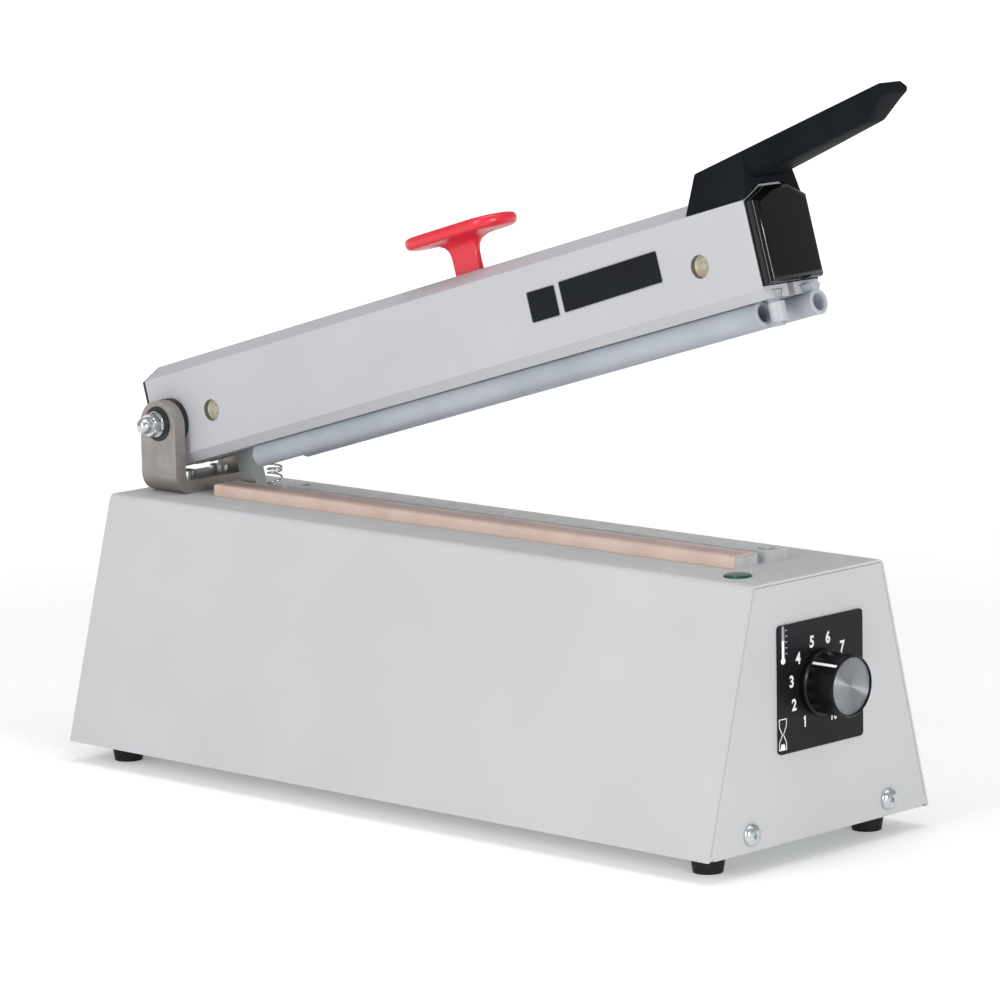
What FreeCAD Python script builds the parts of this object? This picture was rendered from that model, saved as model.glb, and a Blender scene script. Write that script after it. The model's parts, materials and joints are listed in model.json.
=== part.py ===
import FreeCAD, Part
import os
import Sketcher

# Hand impulse sealer with a sliding film cutter, in millimetres.
# +X runs from the hinge to the control panel, +Y to the far long side, +Z up.
# The origin lies on the ground, under the middle of the housing.

Vector = FreeCAD.Vector
Rotation = FreeCAD.Rotation
Placement = FreeCAD.Placement
doc = FreeCAD.newDocument("impulse_sealer")


# A size and the expression that keeps it tied to the sheet

class Size:
    """A number with the expression that gives it, so that sums of sizes stay bound to the sheet."""

    def __init__(self, value, text=None):
        self.value = float(value)
        self.text = text or repr(float(value))

    def join(self, other, sign, value, swap=False):
        first, second = (other, self) if swap else (self, other)
        return Size(value, "(%s %s %s)" % (first.text, sign, second.text))

    def __add__(self, other):
        other = as_size(other)
        return self.join(other, "+", self.value + other.value)

    def __sub__(self, other):
        other = as_size(other)
        return self.join(other, "-", self.value - other.value)

    def __mul__(self, other):
        other = as_size(other)
        return self.join(other, "*", self.value * other.value)

    def __truediv__(self, other):
        other = as_size(other)
        return self.join(other, "/", self.value / other.value)

    def __rsub__(self, other):
        other = as_size(other)
        return self.join(other, "-", other.value - self.value, swap=True)

    def __neg__(self):
        return Size(-self.value, "(-1 * %s)" % self.text)

    __radd__ = __add__
    __rmul__ = __mul__


def as_size(number):
    return number if isinstance(number, Size) else Size(number)


def root_of(size):
    return Size(size.value ** 0.5, "sqrt(%s)" % size.text)


# Driving sizes: name, value and what it is

DRIVING = (
    ("housing_length", 320.0, "housing, hinge end to control end"),
    ("housing_top_width", 68.3, "width of the flat top"),
    ("housing_foot_width", 117.0, "width at the lower edge of the sloping sides"),
    ("housing_height", 91.0, "lower edge to flat top"),
    ("cover_sheet", 1.0, "steel sheet of the cover"),
    ("panel_sheet", 1.2, "steel sheet of the end panels"),
    ("base_sheet", 1.5, "steel sheet of the base plate"),
    ("bend_radius", 2.5, "outer bend of the cover's long edges"),
    ("cover_flange", 24.0, "width of the cover's turned-in lower flanges"),
    ("panel_rim", 9.0, "depth of the rims bent on the end panels"),
    ("base_side_gap", 9.6, "edge of the base plate from the lower edge of the side"),
    ("base_upstand", 15.0, "height of the base plate's end flanges"),
    ("seam", 0.2, "gap between neighbouring sheets"),
    ("foot_height", 7.8, "rubber foot"),
    ("foot_top_radius", 6.5, "rubber foot where it meets the housing"),
    ("foot_ground_radius", 5.2, "rubber foot at the ground"),
    ("foot_end_inset", 14.5, "foot centre from the housing's end"),
    ("foot_side_inset", 16.5, "foot centre from the lower edge of the side"),
    ("foot_recess", 4.0, "depth of the recess for the screw's head"),
    ("screw_radius", 2.0, "shank of the common screws"),
    ("screw_head_radius", 3.9, "pan head of the common screws"),
    ("screw_head_height", 2.3, "pan head of the common screws"),
    ("hole_clearance", 0.15, "radial gap of a screw in its hole"),
    ("panel_screw_inset", 22.2, "panel screw from the lower corner"),
    ("panel_screw_height", 6.0, "panel screw above the housing's lower edge"),
    ("hinge_inset", 14.4, "hinge axis from the hinge end of the housing"),
    ("hinge_height", 26.5, "hinge axis above the flat top"),
    ("bracket_half_width", 22.3, "outer faces of the ears from the middle plane"),
    ("bracket_plate", 5.0, "plate of the hinge bracket"),
    ("bracket_bend", 7.5, "outer bend of the bracket"),
    ("ear_radius", 9.5, "rounded top of the ears"),
    ("ear_drop", 0.9, "centre of the ears' round tops below the hinge axis"),
    ("bracket_bolt_spread", 9.0, "bracket bolt from the middle plane"),
    ("bush_radius", 6.55, "nylon bush in the ear"),
    ("bush_flange_radius", 8.9, "flange of the nylon bush"),
    ("bush_flange", 2.5, "thickness of that flange"),
    ("bolt_radius", 2.5, "hinge bolt"),
    ("washer_radius", 4.8, "hinge washer"),
    ("washer_thickness", 1.0, "hinge washer"),
    ("nut_flats", 8.0, "across flats of the hinge bolt's head and cap nut"),
    ("nut_height", 3.6, "hexagon of the cap nut"),
    ("nut_dome_radius", 3.1, "domed end of the cap nut"),
    ("nut_dome_length", 4.6, "domed end of the cap nut"),
    ("running_gap", 0.05, "radial gap of a pin that turns"),
    ("sleeve_radius", 4.0, "steel sleeve across the arm, on the hinge bolt"),
    ("arm_open_angle", 16.1, "arm above level when it rests open"),
    ("arm_width", 29.0, "extruded arm profile"),
    ("arm_wall", 1.8, "side walls and roof of the profile"),
    ("arm_tail", 10.6, "profile behind the hinge axis"),
    ("arm_front_inset", 3.0, "front of the profile behind the control end, arm down"),
    ("arm_eave", 17.5, "top of the side walls above the hinge axis"),
    ("roof_rise", 4.7, "height of the sloping roof faces"),
    ("roof_flat", 10.6, "width of the flat roof"),
    ("wall_foot", 13.1, "bottom of the side walls below the hinge axis"),
    ("keel_chamfer", 3.6, "inward chamfer below the side walls"),
    ("keel_floor", 4.8, "thickness of the profile's grooved floor"),
    ("knife_slot", 3.2, "slot along the floor for the blade"),
    ("knob_slot", 3.6, "slot along the roof for the knob's stem"),
    ("slot_start", 52.0, "rear end of the roof slot, from the hinge axis"),
    ("slot_inset", 46.0, "front end of the roof slot behind the profile's front"),
    ("jaw_offset", 7.3, "tubes and bars from the middle plane"),
    ("groove_mouth", 3.2, "width of a dovetail groove's mouth"),
    ("groove_width", 6.0, "width of a dovetail groove's floor"),
    ("groove_depth", 3.0, "depth of a dovetail groove"),
    ("groove_gap", 0.2, "silicone foot in its groove"),
    ("tube_width", 8.2, "silicone pressing tube, as it is squeezed against a bar"),
    ("tube_height", 5.3, "silicone pressing tube, as it is squeezed against a bar"),
    ("tube_wall", 1.35, "silicone pressing tube"),
    ("near_tube_start", 32.5, "rear end of the near tube, from the hinge axis"),
    ("far_tube_start", 45.0, "rear end of the far tube, from the hinge axis"),
    ("near_tube_gap", 3.2, "near tube's front end behind the closing stop"),
    ("far_tube_overhang", 3.0, "far tube's front end beyond the profile"),
    ("closing_gap", 0.3, "tube above bar when the arm is down"),
    ("bar_width", 11.6, "seal bar and clamp rail"),
    ("seal_bar_start", 35.0, "rear end of the seal bar, from the housing's end"),
    ("seal_bar_inset", 26.0, "front end of the seal bar from the control end"),
    ("rail_start", 59.0, "rear end of the clamp rail, from the housing's end"),
    ("rail_screw_inset", 5.0, "rail screws from the rail's ends"),
    ("rail_inset", 24.9, "front end of the clamp rail from the control end"),
    ("insulation", 0.1, "glass cloth under the wire"),
    ("wire_thickness", 0.15, "flat sealing wire"),
    ("wire_width", 2.4, "flat sealing wire"),
    ("tape_thickness", 0.25, "non-stick tape over the wire"),
    ("clamp_length", 4.3, "wire clamp on the front end of the seal bar"),
    ("rear_clamp_length", 1.5, "wire clamp on the rear end of the seal bar"),
    ("bar_screw_inset", 14.0, "screws of the seal bar from its ends"),
    ("side_hole_radius", 4.1, "round holes in the side walls"),
    ("rear_hole", 22.3, "rear side hole from the hinge axis"),
    ("front_hole_inset", 25.5, "front side hole behind the profile's front"),
    ("spacer_radius", 5.6, "nylon spacer between the side walls"),
    ("rear_cap", 1.8, "rear end cap"),
    ("front_cap_flange", 1.2, "flange of the front end cap"),
    ("front_cap_bulge", 4.0, "raised body of the front end cap"),
    ("cap_inset", 0.3, "raised body in from the flange's edge"),
    ("cap_round", 2.4, "rounded edges of the raised body"),
    ("cap_plug", 6.0, "how far a cap's plug reaches into the profile"),
    ("handle_inset", 26.2, "rear foot of the handle behind the profile's front"),
    ("handle_saddle", 27.6, "length of the handle's foot on the arm"),
    ("handle_reach", 63.1, "tip of the handle beyond the profile's front"),
    ("handle_rear_top", 30.7, "rear top edge of the handle above the hinge axis"),
    ("handle_tip_top", 42.3, "top of the tip above the hinge axis"),
    ("blade_depth", 7.8, "thickness of the handle's blade"),
    ("tip_depth", 3.6, "thickness at the tip"),
    ("tip_bevel", 12.0, "length of the bevel under the tip"),
    ("blade_width", 24.8, "width of the blade at its root"),
    ("tip_width", 14.0, "width of the blade at the tip"),
    ("handle_lean", 5.5, "rear top edge of the handle in front of its foot"),
    ("stop_radius", 2.1, "closing stop under the arm's front"),
    ("stop_inset", 2.4, "closing stop behind the profile's front"),
    ("knob_place", 155.7, "cutter knob from the hinge axis, as it stands"),
    ("knob_length", 49.0, "oval head of the cutter knob"),
    ("knob_width", 22.5, "oval head of the cutter knob"),
    ("knob_thickness", 5.1, "oval head of the cutter knob"),
    ("knob_top", 40.4, "top of the knob above the hinge axis"),
    ("stem_length", 12.8, "stem of the knob, along the arm"),
    ("stem_thickness", 3.0, "stem of the knob, across the arm"),
    ("stem_flare", 4.0, "round between stem and head"),
    ("press_travel", 10.0, "how far the knob is pressed to cut"),
    ("slide_gap", 0.3, "carriage to the profile around it"),
    ("carriage_length", 46.0, "nylon carriage"),
    ("carriage_top", 6.0, "top of the carriage above the hinge axis"),
    ("carriage_floor", 3.6, "floor under the press springs"),
    ("plunger_length", 40.0, "cross bar of the plunger"),
    ("plunger_width", 9.0, "cross bar of the plunger"),
    ("plunger_bar", 4.0, "thickness of the cross bar"),
    ("plunger_reach", 12.0, "shank of the plunger below its cross bar"),
    ("cutter_thickness", 0.8, "steel cutter"),
    ("cutter_length", 14.0, "steel cutter, along the arm"),
    ("cutter_reach", 16.2, "cutter's point below the hinge axis, as it stands"),
    ("spring_offset", 14.5, "press springs from the knob's middle"),
    ("spring_radius", 3.2, "press spring, to the middle of its wire"),
    ("spring_wire", 0.7, "press spring"),
    ("strut_start", 14.9, "rear edge of the strut from the hinge axis"),
    ("strut_length", 7.6, "width of the strut along the arm"),
    ("strut_width", 5.6, "width of the strut across the arm"),
    ("strut_side", 2.2, "middle of the strut from the middle plane"),
    ("strut_sheet", 1.2, "steel sheet of the strut"),
    ("strut_reach", 46.0, "lower end of the strut below the hinge axis"),
    ("strut_foot", 6.5, "width of the strut's lower end"),
    ("return_spring_place", 37.4, "return spring from the hinge axis"),
    ("return_spring_radius", 2.7, "return spring, to the middle of its wire"),
    ("return_spring_wire", 0.8, "return spring"),
    ("return_spring_height", 19.6, "return spring with the arm open"),
    ("plate_size", 44.5, "square dial plate"),
    ("plate_thickness", 0.8, "square dial plate"),
    ("plate_corner", 1.5, "corner of the dial plate"),
    ("plate_height", 53.3, "dial centre above the housing's lower edge"),
    ("dial_radius", 10.8, "dial knob"),
    ("dial_skirt_radius", 11.5, "skirt of the dial knob"),
    ("dial_depth", 13.4, "dial knob"),
    ("dial_gap", 0.5, "dial knob from its plate"),
    ("insert_radius", 9.95, "aluminium insert in the dial knob"),
    ("insert_sheet", 0.8, "aluminium insert in the dial knob"),
    ("insert_recess", 0.8, "face of the insert behind the knob's rim"),
    ("shaft_radius", 3.0, "shaft of the timer's potentiometer"),
    ("thread_radius", 4.6, "threaded neck of the potentiometer"),
    ("lamp_inset", 16.7, "pilot lamp from the control end"),
    ("lamp_side", 22.5, "pilot lamp from the middle plane"),
    ("lamp_radius", 5.0, "lens of the pilot lamp"),
    ("rivet_radius", 3.0, "flush rivet heads on the top"),
    ("rivet_side", 25.0, "rivets from the middle plane"),
    ("front_rivet_inset", 46.1, "front rivets from the control end"),
    ("rear_rivet_inset", 60.4, "rear rivets from the hinge end"),
    ("stiffener_sheet", 1.5, "stiffening plate under the top"),
    ("gland_inset", 12.0, "cable bush from the control end"),
    ("gland_height", 38.0, "cable bush above the housing's lower edge"),
    ("gland_bore", 2.8, "radius of the hole through the cable bush"),
    ("gland_sleeve", 2.2, "wall of the cable bush in the side"),
    ("gland_nose", 11.5, "how far the cable bush stands out"),
    ("core_length", 66.0, "transformer core"),
    ("core_height", 55.0, "transformer core"),
    ("core_stack", 28.0, "transformer core, across"),
    ("coil_margin", 9.0, "coil beyond the core on each side"),
    ("core_foot", 10.0, "foot strip beyond the core at each end"),
    ("core_foot_sheet", 2.0, "thickness of the foot strip"),
    ("core_bolt_side", 10.0, "core bolt from the middle plane"),
    ("core_yoke", 10.0, "iron above and below the coil"),
    ("coil_gap", 0.4, "coil from the iron around it"),
    ("small_nut_flats", 7.0, "across flats of the common nuts"),
    ("small_nut_height", 3.0, "common nuts"),
    ("pot_radius", 11.0, "case of the potentiometer"),
    ("pot_depth", 9.0, "case of the potentiometer"),
    ("pot_nut_flats", 11.0, "nut of the potentiometer"),
    ("pot_nut_height", 2.2, "nut of the potentiometer"),
    ("board_width", 52.0, "timer board"),
    ("board_below", 26.0, "timer board below the dial's middle"),
    ("board_above", 20.0, "timer board above the dial's middle"),
    ("board_sheet", 1.6, "timer board"),
    ("relay_width", 20.0, "relay on the timer board"),
    ("relay_height", 16.0, "relay on the timer board"),
    ("relay_depth", 15.0, "relay on the timer board"),
    ("capacitor_radius", 5.0, "capacitor on the timer board"),
    ("terminal_place", 55.0, "middle of the terminal block from the control end"),
    ("terminal_side", 25.0, "middle of the terminal block from the middle plane"),
    ("terminal_length", 30.0, "terminal block"),
    ("terminal_width", 14.0, "terminal block"),
    ("terminal_height", 14.0, "terminal block"),
    ("switch_length", 20.0, "lever switch"),
    ("switch_width", 6.4, "lever switch"),
    ("switch_height", 10.0, "lever switch without its lever"),
    ("switch_lever", 1.5, "lever of the switch"),
    ("switch_stroke", 2.5, "lever above the switch's case"),
    ("switch_sheet", 1.2, "bracket of the switch"),
    ("switch_ledge", 12.0, "ledge of the switch's bracket"),
)


def make_sheet():
    """Write the driving sizes to the sheet and give each back by its name."""
    sheet = doc.addObject("Spreadsheet::Sheet", "Sizes")
    names = {}
    for row, (name, value, note) in enumerate(DRIVING, start=1):
        sheet.set("A%d" % row, name)
        sheet.set("B%d" % row, repr(value))
        sheet.set("C%d" % row, note)
        sheet.setAlias("B%d" % row, name)
        names[name] = Size(value, "Sizes.%s" % name)
    doc.recompute()
    return names


class Sizes:
    pass


S = Sizes()
S.__dict__.update(make_sheet())

# Levels and places that follow from the driving sizes

ground_to_edge = S.foot_height
top = S.foot_height + S.housing_height
half_length = S.housing_length / 2
side_slope = (S.housing_foot_width - S.housing_top_width) / 2 / S.housing_height
slope_stretch = root_of(side_slope * side_slope + 1)
hinge_x = S.hinge_inset - half_length
hinge_z = top + S.hinge_height
keel = S.wall_foot + S.keel_chamfer
roof = S.arm_eave + S.roof_rise
arm_front = S.housing_length - S.hinge_inset - S.arm_front_inset
arm_length = arm_front + S.arm_tail
front_hole = arm_front - S.front_hole_inset
handle_start = arm_front - S.handle_inset
handle_tip = arm_front + S.handle_reach
stop_place = arm_front - S.stop_inset
near_tube_end = stop_place - S.stop_radius - S.near_tube_gap
far_tube_end = arm_front + S.far_tube_overhang
half_arm = S.arm_width / 2
bar_height = S.hinge_height - keel - S.tube_height - S.closing_gap
bar_top = top + bar_height
seal_bar_x = S.seal_bar_start - half_length
seal_bar_end = half_length - S.seal_bar_inset
rail_x = S.rail_start - half_length
rail_end = half_length - S.rail_inset
foot_spread = S.housing_foot_width / 2 - S.foot_side_inset
panel_screw_spread = S.housing_foot_width / 2 - S.panel_screw_inset
dial_z = S.foot_height + S.plate_height
inner_roof = roof - S.arm_wall
knob_foot = inner_roof - S.slide_gap
PARTS = []


# Small helpers: binding, sketches, features and plain solids

def bind(thing, field, size):
    thing.setExpression(field, as_size(size).text)


def put(thing, x=0, y=0, z=0):
    """Tie a thing's place to the sheet."""
    for letter, size in (("x", x), ("y", y), ("z", z)):
        bind(thing, "Placement.Base." + letter, size)
    return thing


def on_arm(thing):
    """Stand a thing that was drawn about the hinge axis on the raised arm."""
    thing.Placement = Placement(Vector(), Rotation(Vector(0, -1, 0), S.arm_open_angle.value))
    bind(thing, "Placement.Rotation.Angle", S.arm_open_angle)
    return put(thing, hinge_x, 0, hinge_z)


def keep(thing, label):
    """Name a finished sub-part."""
    thing.Label = label
    PARTS.append(thing)
    return thing


def new_body(name):
    return doc.addObject("PartDesign::Body", name)


def new_sketch(body, role, offset=0):
    sketch = body.newObject("Sketcher::SketchObject", body.Name + "_sketch")
    plane = [item for item in body.Origin.OriginFeatures if item.Role == role][0]
    sketch.AttachmentSupport = (plane, [""])
    sketch.MapMode = "FlatFace"
    bind(sketch, "AttachmentOffset.Base.z", offset)
    return sketch


def draw_loop(sketch, points):
    """Draw a closed run of straight lines whose corners follow the sheet."""
    points = [(as_size(across), as_size(up)) for across, up in points]
    first = sketch.GeometryCount
    count = len(points)
    corners = [Vector(across.value, up.value, 0) for across, up in points]
    lines = [Part.LineSegment(corners[i], corners[(i + 1) % count]) for i in range(count)]
    sketch.addGeometry(lines, False)
    rules = []
    for i in range(count):
        rules.append(Sketcher.Constraint("Coincident", first + i, 2, first + (i + 1) % count, 1))
    for i, corner in enumerate(corners):
        rules.append(Sketcher.Constraint("DistanceX", first + i, 1, corner.x))
        rules.append(Sketcher.Constraint("DistanceY", first + i, 1, corner.y))
    start = sketch.ConstraintCount
    sketch.addConstraint(rules)
    for i, (across, up) in enumerate(points):
        bind(sketch, "Constraints[%d]" % (start + count + 2 * i), across)
        bind(sketch, "Constraints[%d]" % (start + count + 2 * i + 1), up)


def draw_circle(sketch, across, up, radius):
    across, up, radius = as_size(across), as_size(up), as_size(radius)
    centre = Vector(across.value, up.value, 0)
    index = sketch.addGeometry(Part.Circle(centre, Vector(0, 0, 1), radius.value), False)
    start = sketch.ConstraintCount
    sketch.addConstraint(Sketcher.Constraint("DistanceX", index, 3, centre.x))
    sketch.addConstraint(Sketcher.Constraint("DistanceY", index, 3, centre.y))
    sketch.addConstraint(Sketcher.Constraint("Radius", index, radius.value))
    for step, size in enumerate((across, up, radius)):
        bind(sketch, "Constraints[%d]" % (start + step), size)


def grow(body, kind, sketch, length, middle=False, backwards=False):
    """Pad or pocket a sketch."""
    feature = body.newObject("PartDesign::" + kind, body.Name + "_" + kind)
    feature.Profile = sketch
    feature.Midplane = middle
    feature.Reversed = backwards
    bind(feature, "Length", length)
    doc.recompute()
    return feature


def prism(name, role, points, length, offset=0, middle=False, backwards=False):
    """A body that is one padded outline."""
    body = new_body(name)
    sketch = new_sketch(body, role, offset)
    draw_loop(sketch, points)
    grow(body, "Pad", sketch, length, middle, backwards)
    return body


def turned(name, role, points, axis):
    """A body that is one outline turned about a sketch axis."""
    body = new_body(name)
    sketch = new_sketch(body, role)
    draw_loop(sketch, points)
    feature = body.newObject("PartDesign::Revolution", name + "_turned")
    feature.Profile = sketch
    feature.ReferenceAxis = (sketch, [axis])
    doc.recompute()
    return body


def edge_names(shape, test):
    """Names of the edges whose middle point and direction pass a test."""
    found = []
    for number, edge in enumerate(shape.Edges, start=1):
        if not isinstance(edge.Curve, Part.Line):
            continue
        middle = edge.valueAt((edge.FirstParameter + edge.LastParameter) / 2)
        run = edge.Vertexes[-1].Point - edge.Vertexes[0].Point
        if test(middle, run.normalize()):
            found.append("Edge%d" % number)
    return found


def round_edges(body, radius, test):
    """Round chosen straight edges of a body's last feature."""
    base = body.Tip
    feature = body.newObject("PartDesign::Fillet", body.Name + "_round")
    feature.Base = (base, edge_names(base.Shape, test))
    bind(feature, "Radius", radius)
    doc.recompute()
    return feature


def box(name, x, y, z):
    """A block between two values on each axis."""
    block = doc.addObject("Part::Box", name)
    for field, span in (("Length", x), ("Width", y), ("Height", z)):
        bind(block, field, as_size(span[1]) - span[0])
    return put(block, x[0], y[0], z[0])


TURN = {"x": Rotation(Vector(0, 1, 0), 90), "y": Rotation(Vector(1, 0, 0), -90), "z": Rotation()}


def rod(name, along, radius, start, length, x=0, y=0, z=0):
    """A round bar along one axis, from a start on that axis."""
    bar = doc.addObject("Part::Cylinder", name)
    bar.Placement.Rotation = TURN[along]
    bind(bar, "Radius", radius)
    bind(bar, "Height", length)
    place = {"x": x, "y": y, "z": z}
    place[along] = start
    return put(bar, **place)


def hexagon(name, along, flats, start, length, x=0, y=0, z=0):
    """A hexagonal bar along one axis."""
    bar = doc.addObject("Part::Prism", name)
    bar.Placement.Rotation = TURN[along]
    bar.Polygon = 6
    bind(bar, "Circumradius", as_size(flats) / root_of(Size(3)))
    bind(bar, "Height", length)
    place = {"x": x, "y": y, "z": z}
    place[along] = start
    return put(bar, **place)


def fuse(name, pieces):
    joined = doc.addObject("Part::MultiFuse", name)
    joined.Shapes = pieces
    doc.recompute()
    return joined


def group(name, pieces):
    """Several separate solids in one sub-part."""
    together = doc.addObject("Part::Compound", name)
    together.Links = pieces
    return together


def cut(name, base, tools):
    result = doc.addObject("Part::Cut", name)
    result.Base = base
    result.Tool = tools[0] if len(tools) == 1 else group(name + "_tools", tools)
    doc.recompute()
    return result


def common(name, first, second):
    result = doc.addObject("Part::Common", name)
    result.Base = first
    result.Tool = second
    doc.recompute()
    return result


def screw(name, along, sign, seat, length, x=0, y=0, z=0):
    """A pan-head screw whose head sits on a seat and whose shank runs the other way."""
    seat = as_size(seat)
    if sign > 0:
        head_start, shank_start = seat, seat - length
    else:
        head_start, shank_start = seat - S.screw_head_height, seat
    head = rod(name + "_head", along, S.screw_head_radius, head_start, S.screw_head_height, x, y, z)
    shank = rod(name + "_shank", along, S.screw_radius, shank_start, length, x, y, z)
    return fuse(name, [head, shank])


def mirrored_spots(first, second):
    """The four corners of a rectangle about the middle planes."""
    return [(a * first, b * second) for a in (-1, 1) for b in (-1, 1)]


def coil_spring(radius, wire, height, turns, steps=10):
    """A coil of square wire made of flat facets, standing on the plane z = 0."""
    half = wire * 0.44
    corners = ((radius - half, -half), (radius + half, -half), (radius + half, half), (radius - half, half))
    rise = (height - 2 * half) / (turns * steps)
    rings = []
    for step in range(turns * steps + 1):
        turn = Rotation(Vector(0, 0, 1), 360.0 * step / steps)
        lift = half + rise * step
        rings.append([turn.multVec(Vector(r, 0, up + lift)) for r, up in corners])
    facets = [list(reversed(rings[0])), rings[-1]]
    for low, high in zip(rings, rings[1:]):
        for i in range(4):
            k = (i + 1) % 4
            facets.append([low[i], low[k], high[k]])
            facets.append([low[i], high[k], high[i]])
    faces = [Part.Face(Part.makePolygon(points + points[:1])) for points in facets]
    return Part.Solid(Part.Shell(faces))


# Housing

def side_at(level):
    """Half width of the housing's outside at a level above the ground."""
    return S.housing_foot_width / 2 - side_slope * (as_size(level) - ground_to_edge)


def cover_section():
    """Outline of the folded cover: flat top, sloping sides and turned-in flanges."""
    sheet = S.cover_sheet
    wall = sheet * slope_stretch
    edge = ground_to_edge
    flange_end = S.housing_foot_width / 2 - S.cover_flange
    half = [
        (flange_end, edge),
        (side_at(edge), edge),
        (side_at(top), top),
    ]
    inner = [
        (side_at(top - sheet) - wall, top - sheet),
        (side_at(edge + sheet) - wall, edge + sheet),
        (flange_end, edge + sheet),
    ]
    left = [(-across, up) for across, up in reversed(half)]
    left_inner = [(-across, up) for across, up in reversed(inner)]
    return half + left + left_inner + inner


def housing_cover():
    body = new_body("cover_body")
    sketch = new_sketch(body, "YZ_Plane", -half_length)
    draw_loop(sketch, cover_section())
    grow(body, "Pad", sketch, S.housing_length)
    top_now = top.value
    round_edges(body, S.bend_radius,
                lambda at, run: abs(run.x) > 0.9 and abs(at.z - top_now) < 0.01)
    notch = S.panel_sheet + S.base_sheet + S.seam * 2
    notches = []
    for side in (-1, 1):
        low = half_length * side
        span = (low - notch, low + 1) if side > 0 else (low - 1, low + notch)
        notches.append(box("cover_notch", span, (-side_at(ground_to_edge) + 3 * S.cover_sheet,
                                                 side_at(ground_to_edge) - 3 * S.cover_sheet),
                           (ground_to_edge - 1, ground_to_edge + S.cover_sheet + 1)))
    tools = notches + top_holes("cover") + foot_holes("cover", S.cover_sheet)
    tools.append(gland_hole("cover"))
    tools.append(rod("cover_lamp_hole", "z", S.lamp_radius * 0.8 + S.hole_clearance,
                     top - S.cover_sheet - 1, S.cover_sheet + 2, half_length - S.lamp_inset, -S.lamp_side))
    keep(cut("housing_cover", body, tools), "housing_cover")


def top_holes(owner):
    """Cutting tools for everything that passes the top sheet and the plate under it."""
    low = top - S.cover_sheet - S.stiffener_sheet - 1
    depth = S.cover_sheet + S.stiffener_sheet + 2
    radius = S.screw_radius + S.hole_clearance
    tools = []
    for x in bar_screw_places():
        tools.append(rod(owner + "_bar_hole", "z", radius, low, depth, x, -S.jaw_offset))
    for x in rail_screw_places():
        tools.append(rod(owner + "_rail_hole", "z", radius, low, depth, x, S.jaw_offset))
    for side in (-1, 1):
        tools.append(rod(owner + "_bracket_hole", "z", radius, low, depth, bracket_bolt_x(),
                         side * S.bracket_bolt_spread))
    for x, y in rivet_places():
        tools.append(rod(owner + "_rivet_hole", "z", S.rivet_radius / 2, low, depth, x, y))
    tools.append(box(owner + "_strut_slot", strut_slot_x(), strut_slot_y(), (low, low + depth)))
    return tools


def strut_slot_x():
    """Room for the strut at the level of the top, from arm down to arm open."""
    drop = S.hinge_height + S.cover_sheet + S.stiffener_sheet
    reach = (S.strut_start + S.strut_length) / cosine_of_open()
    start = hinge_x + S.strut_start
    return start - 1.5, hinge_x + reach + drop * tangent_of_open() + 1.5


def cosine_of_open():
    angle = S.arm_open_angle
    return Size(Rotation(Vector(0, 1, 0), angle.value).multVec(Vector(1, 0, 0)).x, "cos(%s)" % angle.text)


def tangent_of_open():
    angle = S.arm_open_angle
    turned_x = Rotation(Vector(0, -1, 0), angle.value).multVec(Vector(1, 0, 0))
    return Size(turned_x.z / turned_x.x, "tan(%s)" % angle.text)


def strut_slot_y():
    return (S.strut_side - S.strut_width / 2 - 0.8, S.strut_side + S.strut_width / 2 + 0.8)


def bracket_bolt_x():
    return hinge_x


def bar_screw_places():
    inset = S.bar_screw_inset
    return [seal_bar_x + inset, (seal_bar_x + seal_bar_end) / 2, seal_bar_end - inset]


def rail_screw_places():
    return [rail_x + S.rail_screw_inset, rail_end - S.rail_screw_inset]


def rivet_places():
    places = (half_length - S.front_rivet_inset, S.rear_rivet_inset - half_length)
    return [(x, side * S.rivet_side) for x in places for side in (-1, 1)]


def foot_places():
    return mirrored_spots(half_length - S.foot_end_inset, foot_spread)


def foot_holes(owner, depth):
    radius = S.screw_radius + S.hole_clearance
    return [rod(owner + "_foot_hole", "z", radius, ground_to_edge - 1, depth + 4, x, y)
            for x, y in foot_places()]


def on_side(thing):
    """Turn a thing drawn along +Y to stand square on the far sloping side."""
    thing.Placement.Rotation = Rotation(Vector(0, 0, 1), Vector(0, -side_slope.value, 1))
    thing.setExpression("Placement.Rotation.Angle", "atan(%s)" % side_slope.text)
    height = ground_to_edge + S.gland_height
    return put(thing, half_length - S.gland_inset, side_at(height), height)


def gland_hole(owner):
    body = new_body(owner + "_gland_hole")
    sketch = new_sketch(body, "XZ_Plane")
    draw_circle(sketch, 0, 0, S.gland_bore + S.gland_sleeve + S.hole_clearance)
    grow(body, "Pad", sketch, 16, middle=True)
    return on_side(body)


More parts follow.
